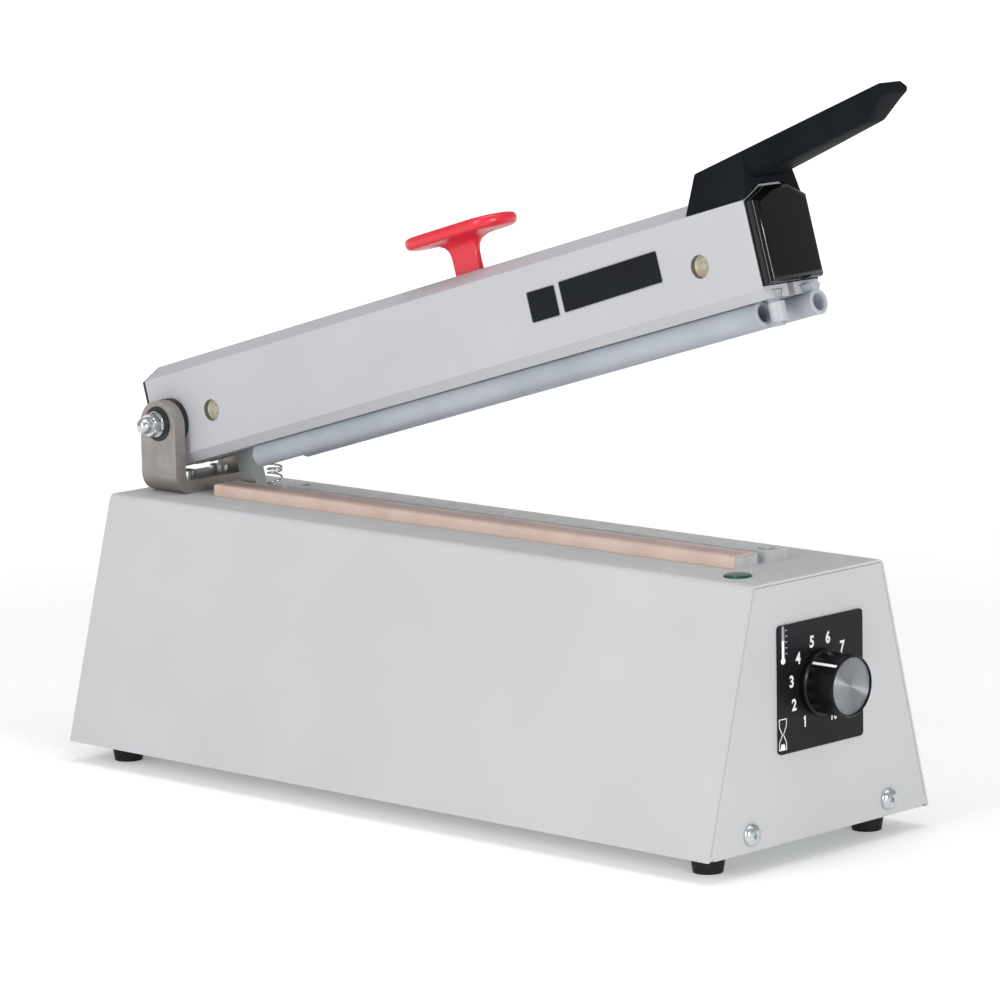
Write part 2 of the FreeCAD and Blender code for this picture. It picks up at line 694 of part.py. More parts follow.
def end_panel(label, side):
    """A folded panel that closes one end of the cover, flush with the cover's edge."""
    sheet = S.cover_sheet * slope_stretch + S.seam
    low = ground_to_edge
    high = top - S.cover_sheet - S.seam
    rim = S.panel_sheet * slope_stretch
    outline = [(-side_at(low) + sheet, low), (side_at(low) - sheet, low),
               (side_at(high) - sheet, high), (-side_at(high) + sheet, high)]
    face = half_length if side > 0 else -half_length
    body = new_body(label + "_body")
    sketch = new_sketch(body, "YZ_Plane", face)
    draw_loop(sketch, outline)
    grow(body, "Pad", sketch, S.panel_rim, backwards=side > 0)
    rim_high = high - S.panel_sheet
    hollow = new_sketch(body, "YZ_Plane", face - side * S.panel_sheet)
    draw_loop(hollow, [(-side_at(low) + sheet + rim, low - 5), (side_at(low) - sheet - rim, low - 5),
                       (side_at(low) - sheet - rim, low),
                       (side_at(rim_high) - sheet - rim, rim_high),
                       (-side_at(rim_high) + sheet + rim, rim_high),
                       (-side_at(low) + sheet + rim, low)])
    grow(body, "Pocket", hollow, S.panel_rim, backwards=side < 0)
    tools = [rod(label + "_screw_hole", "x", S.screw_radius + S.hole_clearance,
                 face - 5, 10, 0, y * panel_screw_spread, low + S.panel_screw_height)
             for y in (-1, 1)]
    inside = face - side * S.panel_sheet
    rim_end = face - side * (S.panel_rim + 1)
    span = (rim_end, inside) if side > 0 else (inside, rim_end)
    tools.append(box(label + "_flange_room", span, (-S.housing_foot_width / 2, S.housing_foot_width / 2),
                     (low - 1, low + S.cover_sheet + S.seam)))
    if side > 0:
        tools.append(rod("panel_neck_hole", "x", S.thread_radius + S.hole_clearance, face - 5, 10, 0, 0, dial_z))
        tools.append(box("panel_gland_notch", (face - S.panel_rim - 1, face - S.panel_sheet - S.seam),
                         (side_at(low + S.gland_height) - 12, side_at(low)),
                         (low + S.gland_height - 9, low + S.gland_height + 9)))
    keep(cut(label, body, tools), label)


def base_plate():
    """The floor sheet with its two upturned ends, which take the panel screws."""
    reach = half_length - S.panel_sheet - S.seam
    width = (side_at(ground_to_edge) - S.base_side_gap) * 2
    low = ground_to_edge + S.cover_sheet
    sheet = S.base_sheet
    body = prism("base_body", "XZ_Plane", [
        (-reach, low), (reach, low), (reach, low + S.base_upstand),
        (reach - sheet, low + S.base_upstand), (reach - sheet, low + sheet),
        (-reach + sheet, low + sheet), (-reach + sheet, low + S.base_upstand),
        (-reach, low + S.base_upstand)], width, middle=True)
    tools = foot_holes("base", S.cover_sheet + sheet)
    for side in (-1, 1):
        for y in (-1, 1):
            tools.append(rod("base_screw_hole", "x", S.screw_radius + S.hole_clearance, side * reach - 5, 10,
                             0, y * panel_screw_spread, ground_to_edge + S.panel_screw_height))
    for x, y in core_bolt_places():
        tools.append(rod("base_core_hole", "z", S.screw_radius + S.hole_clearance, low - 2, sheet + 4, x, y))
    keep(cut("base_plate", body, tools), "base_plate")


def rubber_feet():
    names = ("foot_rear_near", "foot_rear_far", "foot_front_near", "foot_front_far")
    for name, (x, y) in zip(names, foot_places()):
        cone = doc.addObject("Part::Cone", name + "_cone")
        bind(cone, "Radius1", S.foot_ground_radius)
        bind(cone, "Radius2", S.foot_top_radius)
        bind(cone, "Height", S.foot_height)
        put(cone, x, y, 0)
        recess = rod(name + "_recess", "z", S.screw_head_radius + S.hole_clearance, -1, S.foot_recess + 1, x, y)
        bore = rod(name + "_bore", "z", S.screw_radius + S.hole_clearance, 0, S.foot_height + 1, x, y)
        keep(cut(name, cone, [fuse(name + "_hole", [recess, bore])]), name)


def foot_screws():
    length = S.foot_height - S.foot_recess + S.cover_sheet + S.base_sheet + 4
    pieces = []
    for x, y in foot_places():
        bolt = screw("foot_screw", "z", -1, S.foot_recess, length, x, y)
        nut_low = ground_to_edge + S.cover_sheet + S.base_sheet
        nut = hexagon("foot_nut", "z", S.small_nut_flats, nut_low, S.small_nut_height, x, y)
        pieces.append(fuse("foot_fixing", [bolt, nut]))
    keep(group("foot_screws", pieces), "foot_screws")


def panel_screws():
    pieces = []
    for side in (-1, 1):
        for y in (-1, 1):
            pieces.append(screw("panel_screw", "x", side, side * half_length, 8, 0,
                                y * panel_screw_spread, ground_to_edge + S.panel_screw_height))
    keep(group("panel_screws", pieces), "panel_screws")


def top_stiffener():
    """The plate riveted under the top, which the bars and the bracket are screwed to."""
    high = top - S.cover_sheet
    reach = half_length - S.panel_rim - 2
    half = S.housing_top_width / 2 - 3
    plate = box("stiffener_blank", (-reach, reach), (-half, half), (high - S.stiffener_sheet, high))
    lamp = rod("stiffener_lamp_hole", "z", S.lamp_radius * 0.8 + 4, high - 5, 10,
               half_length - S.lamp_inset, -S.lamp_side)
    keep(cut("top_stiffener", plate, top_holes("stiffener") + [lamp]), "top_stiffener")


def top_rivets():
    pieces = []
    low = top - S.cover_sheet - S.stiffener_sheet
    for x, y in rivet_places():
        head = rod("rivet_head", "z", S.rivet_radius, top, 0.3, x, y)
        shank = rod("rivet_shank", "z", S.rivet_radius / 2 - S.hole_clearance, low, top - low, x, y)
        tail = rod("rivet_tail", "z", S.rivet_radius * 0.8, low - 1, 1, x, y)
        pieces.append(fuse("rivet", [head, shank, tail]))
    keep(group("top_rivets", pieces), "top_rivets")


def pilot_lamp():
    """A snap-in lamp: flat lens, collar under it and the body inside."""
    x = half_length - S.lamp_inset
    radius = S.lamp_radius
    lens = turned("lamp_lens_body", "XZ_Plane", [(0, 0), (radius, 0), (radius, 0.3), (radius * 0.85, 0.8), (0, 1)],
                  "V_Axis")
    put(lens, x, -S.lamp_side, top)
    keep(lens, "pilot_lamp_lens")
    barrel = rod("lamp_barrel", "z", radius * 0.8, top - 18, 18, x, -S.lamp_side)
    clip = rod("lamp_clip", "z", radius * 0.8 + 1.4, top - S.cover_sheet - 1.4, 1.4, x, -S.lamp_side)
    keep(fuse("pilot_lamp_body", [barrel, clip]), "pilot_lamp_body")


# Hinge

def hinge_bracket():
    """Bent plate: two round-topped ears on a base that is bolted to the top."""
    half = S.bracket_half_width
    plate = S.bracket_plate
    high = hinge_z + S.ear_radius - S.ear_drop
    crown_z = hinge_z - S.ear_drop
    body = new_body("bracket_fold")
    sketch = new_sketch(body, "YZ_Plane", hinge_x - S.ear_radius)
    draw_loop(sketch, [(-half, top), (half, top), (half, high), (half - plate, high),
                       (half - plate, top + plate), (-half + plate, top + plate),
                       (-half + plate, high), (-half, high)])
    grow(body, "Pad", sketch, S.ear_radius * 2)
    low = top.value
    inner = low + plate.value
    round_edges(body, S.bracket_bend, lambda at, run: abs(run.x) > 0.9 and abs(at.z - low) < 0.01)
    round_edges(body, S.bracket_bend - plate, lambda at, run: abs(run.x) > 0.9 and abs(at.z - inner) < 0.01)
    ear = box("ear_block", (hinge_x - S.ear_radius, hinge_x + S.ear_radius), (-half - 1, half + 1), (top, crown_z))
    crown = rod("ear_crown", "y", S.ear_radius, -half - 1, half * 2 + 2, hinge_x, 0, crown_z)
    outline = fuse("bracket_outline", [ear, crown])
    shape = common("bracket_shape", body, outline)
    tools = [rod("bush_hole", "y", S.bush_radius + S.running_gap, -half - 1, half * 2 + 2, hinge_x, 0, hinge_z)]
    for side in (-1, 1):
        tools.append(rod("bracket_bolt_hole", "z", S.screw_radius + S.hole_clearance, top - 1, plate + 2,
                         bracket_bolt_x(), side * S.bracket_bolt_spread))
    keep(cut("hinge_bracket", shape, tools), "hinge_bracket")


def bracket_bolts():
    seat = top + S.bracket_plate
    length = S.bracket_plate + S.cover_sheet + S.stiffener_sheet + 5
    nut_low = top - S.cover_sheet - S.stiffener_sheet - S.small_nut_height
    pieces = []
    for side in (-1, 1):
        y = side * S.bracket_bolt_spread
        bolt = screw("bracket_bolt", "z", 1, seat, length, bracket_bolt_x(), y)
        nut = hexagon("bracket_nut", "z", S.small_nut_flats, nut_low, S.small_nut_height,
                      bracket_bolt_x(), y)
        pieces.append(fuse("bracket_fixing", [bolt, nut]))
    keep(group("bracket_bolts", pieces), "bracket_bolts")


def hinge_bush(label, side):
    """Flanged nylon bush: barrel in the ear, flange between the ear and the arm."""
    face = S.bracket_half_width - S.bracket_plate
    bore = S.bolt_radius + S.running_gap
    start = face - S.bush_flange
    end = S.bracket_half_width + 0.4
    body = turned(label + "_body", "XY_Plane", [
        (bore, side * start), (S.bush_flange_radius, side * start), (S.bush_flange_radius, side * face),
        (S.bush_radius, side * face), (S.bush_radius, side * end), (bore, side * end)], "V_Axis")
    put(body, hinge_x, 0, hinge_z)
    keep(body, label)


def hinge_bolt():
    """Bolt through both ears, with its hexagon head on the far side."""
    seat = S.bracket_half_width + 0.4 + S.washer_thickness
    near_end = seat + S.nut_height
    shank = rod("hinge_shank", "y", S.bolt_radius, -near_end, near_end + seat, hinge_x, 0, hinge_z)
    head = hexagon("hinge_head", "y", S.nut_flats, seat, S.nut_height, hinge_x, 0, hinge_z)
    keep(fuse("hinge_bolt", [shank, head]), "hinge_bolt")


def hinge_washers():
    pieces = []
    for side in (-1, 1):
        inner = side * (S.bracket_half_width + 0.4)
        start = inner if side > 0 else inner - S.washer_thickness
        disc = rod("washer_disc", "y", S.washer_radius, start, S.washer_thickness, hinge_x, 0, hinge_z)
        hole = rod("washer_hole", "y", S.bolt_radius + S.running_gap, start - 1, S.washer_thickness + 2,
                   hinge_x, 0, hinge_z)
        pieces.append(cut("washer", disc, [hole]))
    keep(group("hinge_washers", pieces), "hinge_washers")


def hinge_cap_nut():
    """Domed nut on the near end of the bolt."""
    start = S.bracket_half_width + 0.4 + S.washer_thickness
    hexa = hexagon("nut_hexagon", "y", S.nut_flats, -start - S.nut_height, S.nut_height, hinge_x, 0, hinge_z)
    dome_start = start + S.nut_height
    straight = S.nut_dome_length - S.nut_dome_radius
    neck = rod("nut_neck", "y", S.nut_dome_radius, -dome_start - straight, straight, hinge_x, 0, hinge_z)
    ball = doc.addObject("Part::Sphere", "nut_ball")
    bind(ball, "Radius", S.nut_dome_radius)
    put(ball, hinge_x, -dome_start - straight, hinge_z)
    shape = fuse("nut_shape", [hexa, neck, ball])
    bore = rod("nut_bore", "y", S.bolt_radius + 0.02, -start - S.nut_height - 0.02, S.nut_height + 1,
               hinge_x, 0, hinge_z)
    keep(cut("hinge_cap_nut", shape, [bore]), "hinge_cap_nut")


# Bars on the top

def layer(owner, low, high, side, x0, x1, width):
    """A flat strip centred on the near or far jaw line."""
    middle = side * S.jaw_offset
    return box(owner, (x0, x1), (middle - width / 2, middle + width / 2), (top + low, top + high))


def seal_bar():
    """Aluminium bar under the wire, with a stepped seat for a clamp at each end."""
    high = bar_height - S.tape_thickness - S.wire_thickness - S.insulation
    blank = layer("seal_bar_blank", Size(0), high, -1, seal_bar_x, seal_bar_end, S.bar_width)
    tools = [rod("seal_bar_hole", "z", S.screw_radius, top - 1, high - 0.5 + 1, x, -S.jaw_offset)
             for x in bar_screw_places()]
    keep(cut("seal_bar", blank, tools), "seal_bar")


def bar_screws():
    """Screws that hold the seal bar from under the top."""
    seat = top - S.cover_sheet - S.stiffener_sheet
    length = S.cover_sheet + S.stiffener_sheet + bar_height / 2
    pieces = []
    for x in bar_screw_places():
        head = rod("bar_screw_head", "z", S.screw_head_radius, seat - S.screw_head_height,
                   S.screw_head_height, x, -S.jaw_offset)
        shank = rod("bar_screw_shank", "z", S.screw_radius - 0.05, seat, length, x, -S.jaw_offset)
        pieces.append(fuse("bar_screw", [head, shank]))
    keep(group("bar_screws", pieces), "bar_screws")


def seal_layers():
    """Glass cloth, flat wire and non-stick tape on the seal bar."""
    end = seal_bar_end
    start = seal_bar_x + S.rear_clamp_length
    stop = end - S.clamp_length
    low = bar_height - S.tape_thickness - S.wire_thickness - S.insulation
    cloth_top = low + S.insulation
    wire_top = cloth_top + S.wire_thickness
    keep(layer("insulation_strip", low, cloth_top, -1, seal_bar_x, end, S.bar_width), "insulation_strip")
    keep(layer("sealing_wire", cloth_top, wire_top, -1, seal_bar_x, end, S.wire_width), "sealing_wire")
    sheet = S.tape_thickness
    near = -S.jaw_offset - S.bar_width / 2
    far = near + S.bar_width
    body = prism("tape_body", "YZ_Plane", [
        (near - sheet, top + 0.1), (near - sheet, top + bar_height), (far, top + bar_height),
        (far, top + wire_top), (near, top + wire_top), (near, top + 0.1)], stop - start, offset=start)
    keep(body, "nonstick_tape")


def wire_clamps():
    """Flush clamp plates that hold the wire's ends on the bar."""
    low = bar_height - S.tape_thickness
    end = seal_bar_end
    spans = ((seal_bar_x, seal_bar_x + S.rear_clamp_length - S.seam), (end - S.clamp_length + S.seam, end))
    pieces = [layer("wire_clamp", low, bar_height, -1, a, b, S.bar_width) for a, b in spans]
    keep(group("wire_clamps", pieces), "wire_clamps")


def clamp_rail():
    """Plain aluminium rail that the far tube presses on."""
    blank = layer("rail_blank", Size(0), bar_height, 1, rail_x, rail_end, S.bar_width)
    tools = []
    for x in rail_screw_places():
        head = rod("rail_head_seat", "z", S.screw_head_radius * 0.8, top + bar_height / 2, bar_height, x, S.jaw_offset)
        shank = rod("rail_shank_seat", "z", S.screw_radius + S.hole_clearance, top - 1, bar_height, x, S.jaw_offset)
        tools.append(fuse("rail_seat", [head, shank]))
    keep(cut("clamp_rail", blank, tools), "clamp_rail")


def rail_screws():
    """Flush screws that hold the clamp rail from above, with a nut under the stiffener."""
    pieces = []
    low = top - S.cover_sheet - S.stiffener_sheet
    radius = S.screw_head_radius * 0.8 - S.hole_clearance
    for x in rail_screw_places():
        head = rod("rail_screw_head", "z", radius, top + bar_height / 2, bar_height / 2, x, S.jaw_offset)
        shank = rod("rail_screw_shank", "z", S.screw_radius, low - 4, top + bar_height / 2 - low + 4, x, S.jaw_offset)
        nut = hexagon("rail_nut", "z", S.small_nut_flats, low - S.small_nut_height, S.small_nut_height,
                      x, S.jaw_offset)
        pieces.append(fuse("rail_screw", [head, shank, nut]))
    keep(group("rail_screws", pieces), "rail_screws")


# Arm

def arm_section():
    """Outline of the extruded arm: gabled roof, side walls and a floor with two dovetail grooves."""
    half = half_arm
    wall = S.arm_wall
    slot = S.knife_slot / 2
    mouth = S.groove_mouth / 2
    groove = S.groove_width / 2
    jaw = S.jaw_offset
    groove_top = S.groove_depth - keel
    floor = S.keel_floor - keel
    flat = S.roof_flat / 2
    right = [
        (slot, -keel), (jaw - mouth, -keel), (jaw - groove, groove_top), (jaw + groove, groove_top),
        (jaw + mouth, -keel), (half - S.keel_chamfer, -keel), (half, -S.wall_foot),
        (half, S.arm_eave), (flat, roof),
    ]
    inner = [
        (flat - wall * 0.4, inner_roof), (half - wall, S.arm_eave - wall * 0.6),
        (half - wall, floor), (slot, floor),
    ]
    left = [(-across, up) for across, up in reversed(right)]
    left_inner = [(-across, up) for across, up in reversed(inner)]
    return right + left + left_inner + inner


def arm_profile():
    body = new_body("profile_body")
    sketch = new_sketch(body, "YZ_Plane", -S.arm_tail)
    draw_loop(sketch, arm_section())
    grow(body, "Pad", sketch, arm_length)
    slot = box("knob_slot_tool", (S.slot_start, arm_front - S.slot_inset), (-S.knob_slot / 2, S.knob_slot / 2),
               (inner_roof - 1, roof + 1))
    tools = [slot, rod("sleeve_hole", "y", S.sleeve_radius + S.running_gap, -half_arm - 1, S.arm_width + 2)]
    for place in (S.rear_hole, front_hole):
        tools.append(rod("side_hole", "y", S.side_hole_radius, -half_arm - 1, S.arm_width + 2, place))
    for place in handle_screw_places():
        tools.append(rod("handle_hole", "z", S.screw_radius + S.hole_clearance, inner_roof - 1, 4, place))
    keep(on_arm(cut("arm_profile", body, tools)), "arm_profile")


def hinge_sleeve():
    """Steel sleeve fixed across the arm; it turns on the hinge bolt."""
    tube = rod("sleeve_tube", "y", S.sleeve_radius, -half_arm, S.arm_width)
    bore = rod("sleeve_bore", "y", S.bolt_radius + S.running_gap, -half_arm - 1, S.arm_width + 2)
    keep(on_arm(cut("hinge_sleeve", tube, [bore])), "hinge_sleeve")


def side_spacers():
    """Nylon spacers that keep the side walls apart, seen through the round holes."""
    inner = half_arm - S.arm_wall
    for label, place in (("side_spacer_rear", S.rear_hole), ("side_spacer_front", front_hole)):
        body = rod(label + "_body", "y", S.spacer_radius, -inner, inner * 2, place)
        bore = rod(label + "_bore", "y", 1.6, -inner - 1, inner * 2 + 2, place)
        keep(on_arm(cut(label, body, [bore])), label)


def gable(drop, inset=0):
    """Closed outline of the arm's end above a lower edge, in from the edge by an inset."""
    half = half_arm - inset
    flat = S.roof_flat / 2 - as_size(inset) * 0.4
    eave = S.arm_eave - as_size(inset) * 0.6
    return [(-half, -drop), (half, -drop), (half, eave), (flat, roof - inset),
            (-flat, roof - inset), (-half, eave)]


def cap_plug(name, start):
    """Block that pushes into the hollow of the profile."""
    half = half_arm - S.arm_wall - S.slide_gap
    low = S.keel_floor - keel + S.slide_gap
    return box(name, (start, start + S.cap_plug), (-half, half), (low, S.arm_eave - S.arm_wall - 1))


def arm_rear_cap():
    plate = prism("rear_cap_plate", "YZ_Plane", gable(S.wall_foot), S.rear_cap, offset=-S.arm_tail - S.rear_cap)
    plug = cap_plug("rear_cap_plug", -S.arm_tail)
    keep(on_arm(fuse("arm_rear_cap", [plate, plug])), "arm_rear_cap")


def arm_front_cap():
    """Glossy cap: thin flange, raised body with rounded upright edges, and plug."""
    flange = prism("front_cap_plate", "YZ_Plane", gable(S.wall_foot), S.front_cap_flange, offset=arm_front)
    raised = prism("front_cap_raised", "YZ_Plane", gable(S.wall_foot - S.cap_inset, S.cap_inset),
                   S.front_cap_bulge, offset=arm_front + S.front_cap_flange)
    face = (arm_front + S.front_cap_flange + S.front_cap_bulge).value
    round_edges(raised, S.cap_round, lambda at, run: abs(at.x - face) < 0.01)
    plug = cap_plug("front_cap_plug", arm_front - S.cap_plug)
    keep(on_arm(fuse("arm_front_cap", [flange, raised, plug])), "arm_front_cap")


def flat_tube(name, start, end, middle, centre, inset):
    """A bar along the arm whose section is the squeezed tube's outline, smaller by an inset."""
    radius = S.tube_height / 2 - inset
    reach = (S.tube_width - S.tube_height) / 2
    ends = [rod(name + "_end", "x", radius, start, end - start, 0, middle + side * reach, centre)
            for side in (-1, 1)]
    bridge = box(name + "_bridge", (start, end), (middle - reach, middle + reach),
                 (centre - radius, centre + radius))
    return fuse(name, ends + [bridge])


def silicone_tube(label, side, start, end):
    """Hollow pressing tube, drawn squeezed, with a dovetail foot that slides in the profile's groove."""
    centre = -keel - S.tube_height / 2
    jaw = side * S.jaw_offset
    bore = flat_tube(label + "_bore", start, end, jaw, centre, S.tube_wall)
    tube = cut(label + "_tube", flat_tube(label + "_skin", start, end, jaw, centre, 0), [bore])
    neck = S.groove_mouth / 2 - S.groove_gap
    foot = S.groove_width / 2 - S.groove_gap * 1.6
    high = S.groove_depth - keel - S.groove_gap
    base = prism(label + "_foot", "YZ_Plane", [
        (jaw - neck, -keel - 0.8), (jaw + neck, -keel - 0.8), (jaw + neck, -keel),
        (jaw + foot, high), (jaw - foot, high), (jaw - neck, -keel)], end - start, offset=start)
    keep(on_arm(fuse(label, [tube, base])), label)


def closing_stop():
    """Steel pin at the front of the near groove, which meets the top when the arm is down."""
    length = S.hinge_height - S.closing_gap - keel
    jaw = -S.jaw_offset
    pin = rod("stop_pin", "z", S.stop_radius, -keel - length, length, stop_place, jaw)
    tip = rod("stop_tip", "z", S.stop_radius * 0.6, -keel - length, length + 1, stop_place, jaw)
    foot = S.groove_width / 2 - S.groove_gap * 1.6
    neck = S.groove_mouth / 2 - S.groove_gap
    high = S.groove_depth - keel - S.groove_gap
    nut = prism("stop_nut", "YZ_Plane", [(jaw - neck, -keel), (jaw + neck, -keel), (jaw + foot, high),
                                         (jaw - foot, high)], S.stop_radius * 2,
                offset=stop_place - S.stop_radius)
    keep(on_arm(fuse("closing_stop", [pin, tip, nut])), "closing_stop")


def handle_screw_places():
    return [handle_start + 8, handle_start + 18]


def handle():
    """Saddle over the roof, with leaning sides, and a thin rising blade with a bevelled tip."""
    saddle_end = handle_start + S.handle_saddle
    rear = handle_start + S.handle_lean
    rise = (S.handle_tip_top - S.handle_rear_top) / (handle_tip - rear)
    top_end = S.handle_rear_top + rise * (saddle_end - rear)
    bevel = handle_tip - S.tip_bevel
    under_bevel = S.handle_rear_top + rise * (bevel - rear) - S.blade_depth
    half = half_arm
    root = S.blade_width / 2
    tip = S.tip_width / 2
    saddle_side = prism("saddle_side", "XZ_Plane", [
        (handle_start, S.arm_eave), (saddle_end, S.arm_eave), (saddle_end, top_end),
        (rear, S.handle_rear_top)], S.arm_width, middle=True)
    saddle_front = prism("saddle_front", "YZ_Plane", [
        (-half, S.arm_eave - 1), (half, S.arm_eave - 1), (half, S.arm_eave), (root, top_end),
        (-root, top_end), (-half, S.arm_eave)], S.handle_saddle + 12, offset=handle_start - 2)
    blade_side = prism("blade_side", "XZ_Plane", [
        (rear, S.handle_rear_top), (saddle_end - 2, top_end - S.blade_depth), (bevel, under_bevel),
        (handle_tip, S.handle_tip_top - S.tip_depth), (handle_tip, S.handle_tip_top)],
        S.arm_width, middle=True)
    blade_plan = prism("blade_plan", "XY_Plane", [
        (rear - 1, -root), (handle_tip + 1, -tip), (handle_tip + 1, tip), (rear - 1, root)], 60)
    shape = fuse("handle_shape", [common("saddle", saddle_side, saddle_front),
                                  common("blade", blade_side, blade_plan)])
    half_cut = half + 1
    flat = S.roof_flat / 2
    roof_gap = 0.1
    saddle_cut = prism("handle_roof_tool", "YZ_Plane", [
        (-half_cut, S.arm_eave - 1), (half_cut, S.arm_eave - 1), (half_cut, S.arm_eave),
        (half, S.arm_eave + roof_gap), (flat, roof + roof_gap), (-flat, roof + roof_gap),
        (-half, S.arm_eave + roof_gap), (-half_cut, S.arm_eave)], S.handle_saddle + 12,
        offset=handle_start - 2)
    tools = [saddle_cut]
    for place in handle_screw_places():
        tools.append(rod("handle_pilot", "z", S.screw_radius, roof - 1, 6, place))
    keep(on_arm(cut("handle", shape, tools)), "handle")


def handle_screws():
    pieces = []
    for place in handle_screw_places():
        head = rod("handle_screw_head", "z", S.screw_head_radius, inner_roof - S.screw_head_height,
                   S.screw_head_height, place)
        shank = rod("handle_screw_shank", "z", S.screw_radius - 0.05, inner_roof, S.arm_wall + 4.5, place)
        pieces.append(fuse("handle_screw", [head, shank]))
    keep(on_arm(group("handle_screws", pieces)), "handle_screws")


def switch_strut():
    """Folded strut under the arm; it reaches through the top and works the timer's switch."""
    start = S.strut_start
    end = start + S.strut_length
    low = -S.strut_reach
    foot = end - S.strut_foot
    side = prism("strut_side_body", "XZ_Plane", [
        (start, -keel), (end, -keel), (end, low), (foot, low), (foot, low + 12), (start, -keel - 9)],
        S.strut_width, middle=True)
    put(side, 0, S.strut_side, 0)
    inner_half = S.strut_width / 2 - S.strut_sheet
    hollow = box("strut_hollow", (start - 1, end - S.strut_sheet),
                 (S.strut_side - inner_half, S.strut_side + inner_half), (low - 1, -keel - S.strut_sheet))
    keep(on_arm(cut("switch_strut", side, [hollow])), "switch_strut")


def return_spring():
    """Compression spring between the top and the arm's underside."""
    spring = doc.addObject("Part::Feature", "return_spring")
    spring.Shape = coil_spring(S.return_spring_radius.value, S.return_spring_wire.value,
                               S.return_spring_height.value, 5)
    put(spring, hinge_x + S.return_spring_place, S.strut_side, top)
    keep(spring, "return_spring")


# Cutter

def cutter_carriage():
    """Nylon block that slides inside the arm and guides the plunger."""
    half = S.carriage_length / 2
    side = half_arm - S.arm_wall - S.slide_gap
    low = S.keel_floor - keel + S.slide_gap
    middle = S.knob_place
    block = box("carriage_block", (middle - half, middle + half), (-side, side), (low, S.carriage_top))
    pocket_half = S.plunger_length / 2 + 1
    pocket = box("carriage_pocket", (middle - pocket_half, middle + pocket_half),
                 (-S.plunger_width / 2 - S.slide_gap, S.plunger_width / 2 + S.slide_gap),
                 (low + S.carriage_floor, S.carriage_top + 1))
    slot_half = S.cutter_length / 2 + S.slide_gap
    slot = box("carriage_slot", (middle - slot_half, middle + slot_half),
               (-S.cutter_thickness / 2 - S.slide_gap, S.cutter_thickness / 2 + S.slide_gap),
               (low - 1, low + S.carriage_floor + 1))
    keep(on_arm(cut("cutter_carriage", block, [pocket, slot])), "cutter_carriage")


def cutter_plunger():
    """Cross bar that the springs lift, with a slotted shank that holds the cutter."""
    middle = S.knob_place
    half = S.plunger_length / 2
    low = knob_foot - S.plunger_bar
    bar = box("plunger_bar_block", (middle - half, middle + half), (-S.plunger_width / 2, S.plunger_width / 2),
              (low, knob_foot))
    shank = box("plunger_shank", (middle - S.stem_length / 2, middle + S.stem_length / 2),
                (-S.stem_thickness / 2, S.stem_thickness / 2), (low - S.plunger_reach, low))
    slit = box("plunger_slit", (middle - half, middle + half),
               (-S.cutter_thickness / 2 - 0.05, S.cutter_thickness / 2 + 0.05),
               (low - S.plunger_reach - 1, low - 1))
    shape = cut("plunger_shape", fuse("plunger_blank", [bar, shank]), [slit])
    pin = rod("plunger_pin", "y", 1.5, -S.stem_thickness / 2, S.stem_thickness, middle, 0, low - 6)
    keep(on_arm(fuse("cutter_plunger", [shape, pin])), "cutter_plunger")


def cutter():
    """Thin steel cutter with a point that leans forward."""
    middle = S.knob_place
    half = S.cutter_length / 2
    high = knob_foot - S.plunger_bar - 1.2
    blade = prism("cutter_body", "XZ_Plane", [
        (middle - half, high), (middle - half, S.cutter_length * 0.6 - S.cutter_reach),
        (middle, -S.cutter_reach), (middle + half, S.cutter_length * 0.6 - S.cutter_reach),
        (middle + half, high)], S.cutter_thickness, middle=True)
    pin = rod("cutter_pin_hole", "y", 1.55, -3, 6, middle, 0, knob_foot - S.plunger_bar - 6)
    keep(on_arm(cut("cutter_blade", blade, [pin])), "cutter_blade")


def cutter_knob():
    """Red knob: oval head with a full-round rim on a flat stem that flares into it."""
    middle = S.knob_place
    radius = S.knob_width / 2
    reach = S.knob_length / 2 - radius
    low = S.knob_top - S.knob_thickness
    ends = [rod("knob_end", "z", radius, low, S.knob_thickness, middle + side * reach) for side in (-1, 1)]
    bridge = box("knob_bridge", (middle - reach, middle + reach), (-radius, radius), (low, S.knob_top))
    head = fuse("knob_head", ends + [bridge])
    head.Refine = True
    stem = box("knob_stem", (middle - S.stem_length / 2, middle + S.stem_length / 2),
               (-S.stem_thickness / 2, S.stem_thickness / 2), (knob_foot, low + 1))
    shape = fuse("knob_shape", [head, stem])
    shape.Refine = True
    doc.recompute()
    rim = S.knob_thickness.value * 0.45
    edges = []
    for number, edge in enumerate(shape.Shape.Edges, start=1):
        centre = edge.BoundBox.Center
        flat = edge.BoundBox.ZLength < 0.01
        outside = abs(centre.y) > radius.value * 0.5 or abs(centre.x - middle.value) > reach.value * 0.9
        if flat and outside and centre.z > low.value - 0.01:
            edges.append((number, rim, rim))
        elif flat and abs(centre.z - low.value) < 0.01:
            edges.append((number, S.stem_flare.value * 0.6, S.stem_flare.value * 0.6))
    rounded = doc.addObject("Part::Fillet", "knob_rounded")
    rounded.Base = shape
    rounded.Edges = edges
    doc.recompute()
    keep(on_arm(rounded), "cutter_knob")


def press_springs():
    low = S.keel_floor - keel + S.slide_gap + S.carriage_floor
    height = knob_foot - S.plunger_bar - low
    coil = coil_spring(S.spring_radius.value, S.spring_wire.value, height.value, 6)
    springs = []
    for side in (-1, 1):
        spring = coil.copy()
        spring.translate(Vector((S.knob_place + side * S.spring_offset).value, 0, low.value))
        springs.append(spring)
    pair = doc.addObject("Part::Feature", "press_springs")
    pair.Shape = Part.makeCompound(springs)
    keep(on_arm(pair), "press_springs")


# Control panel and inside

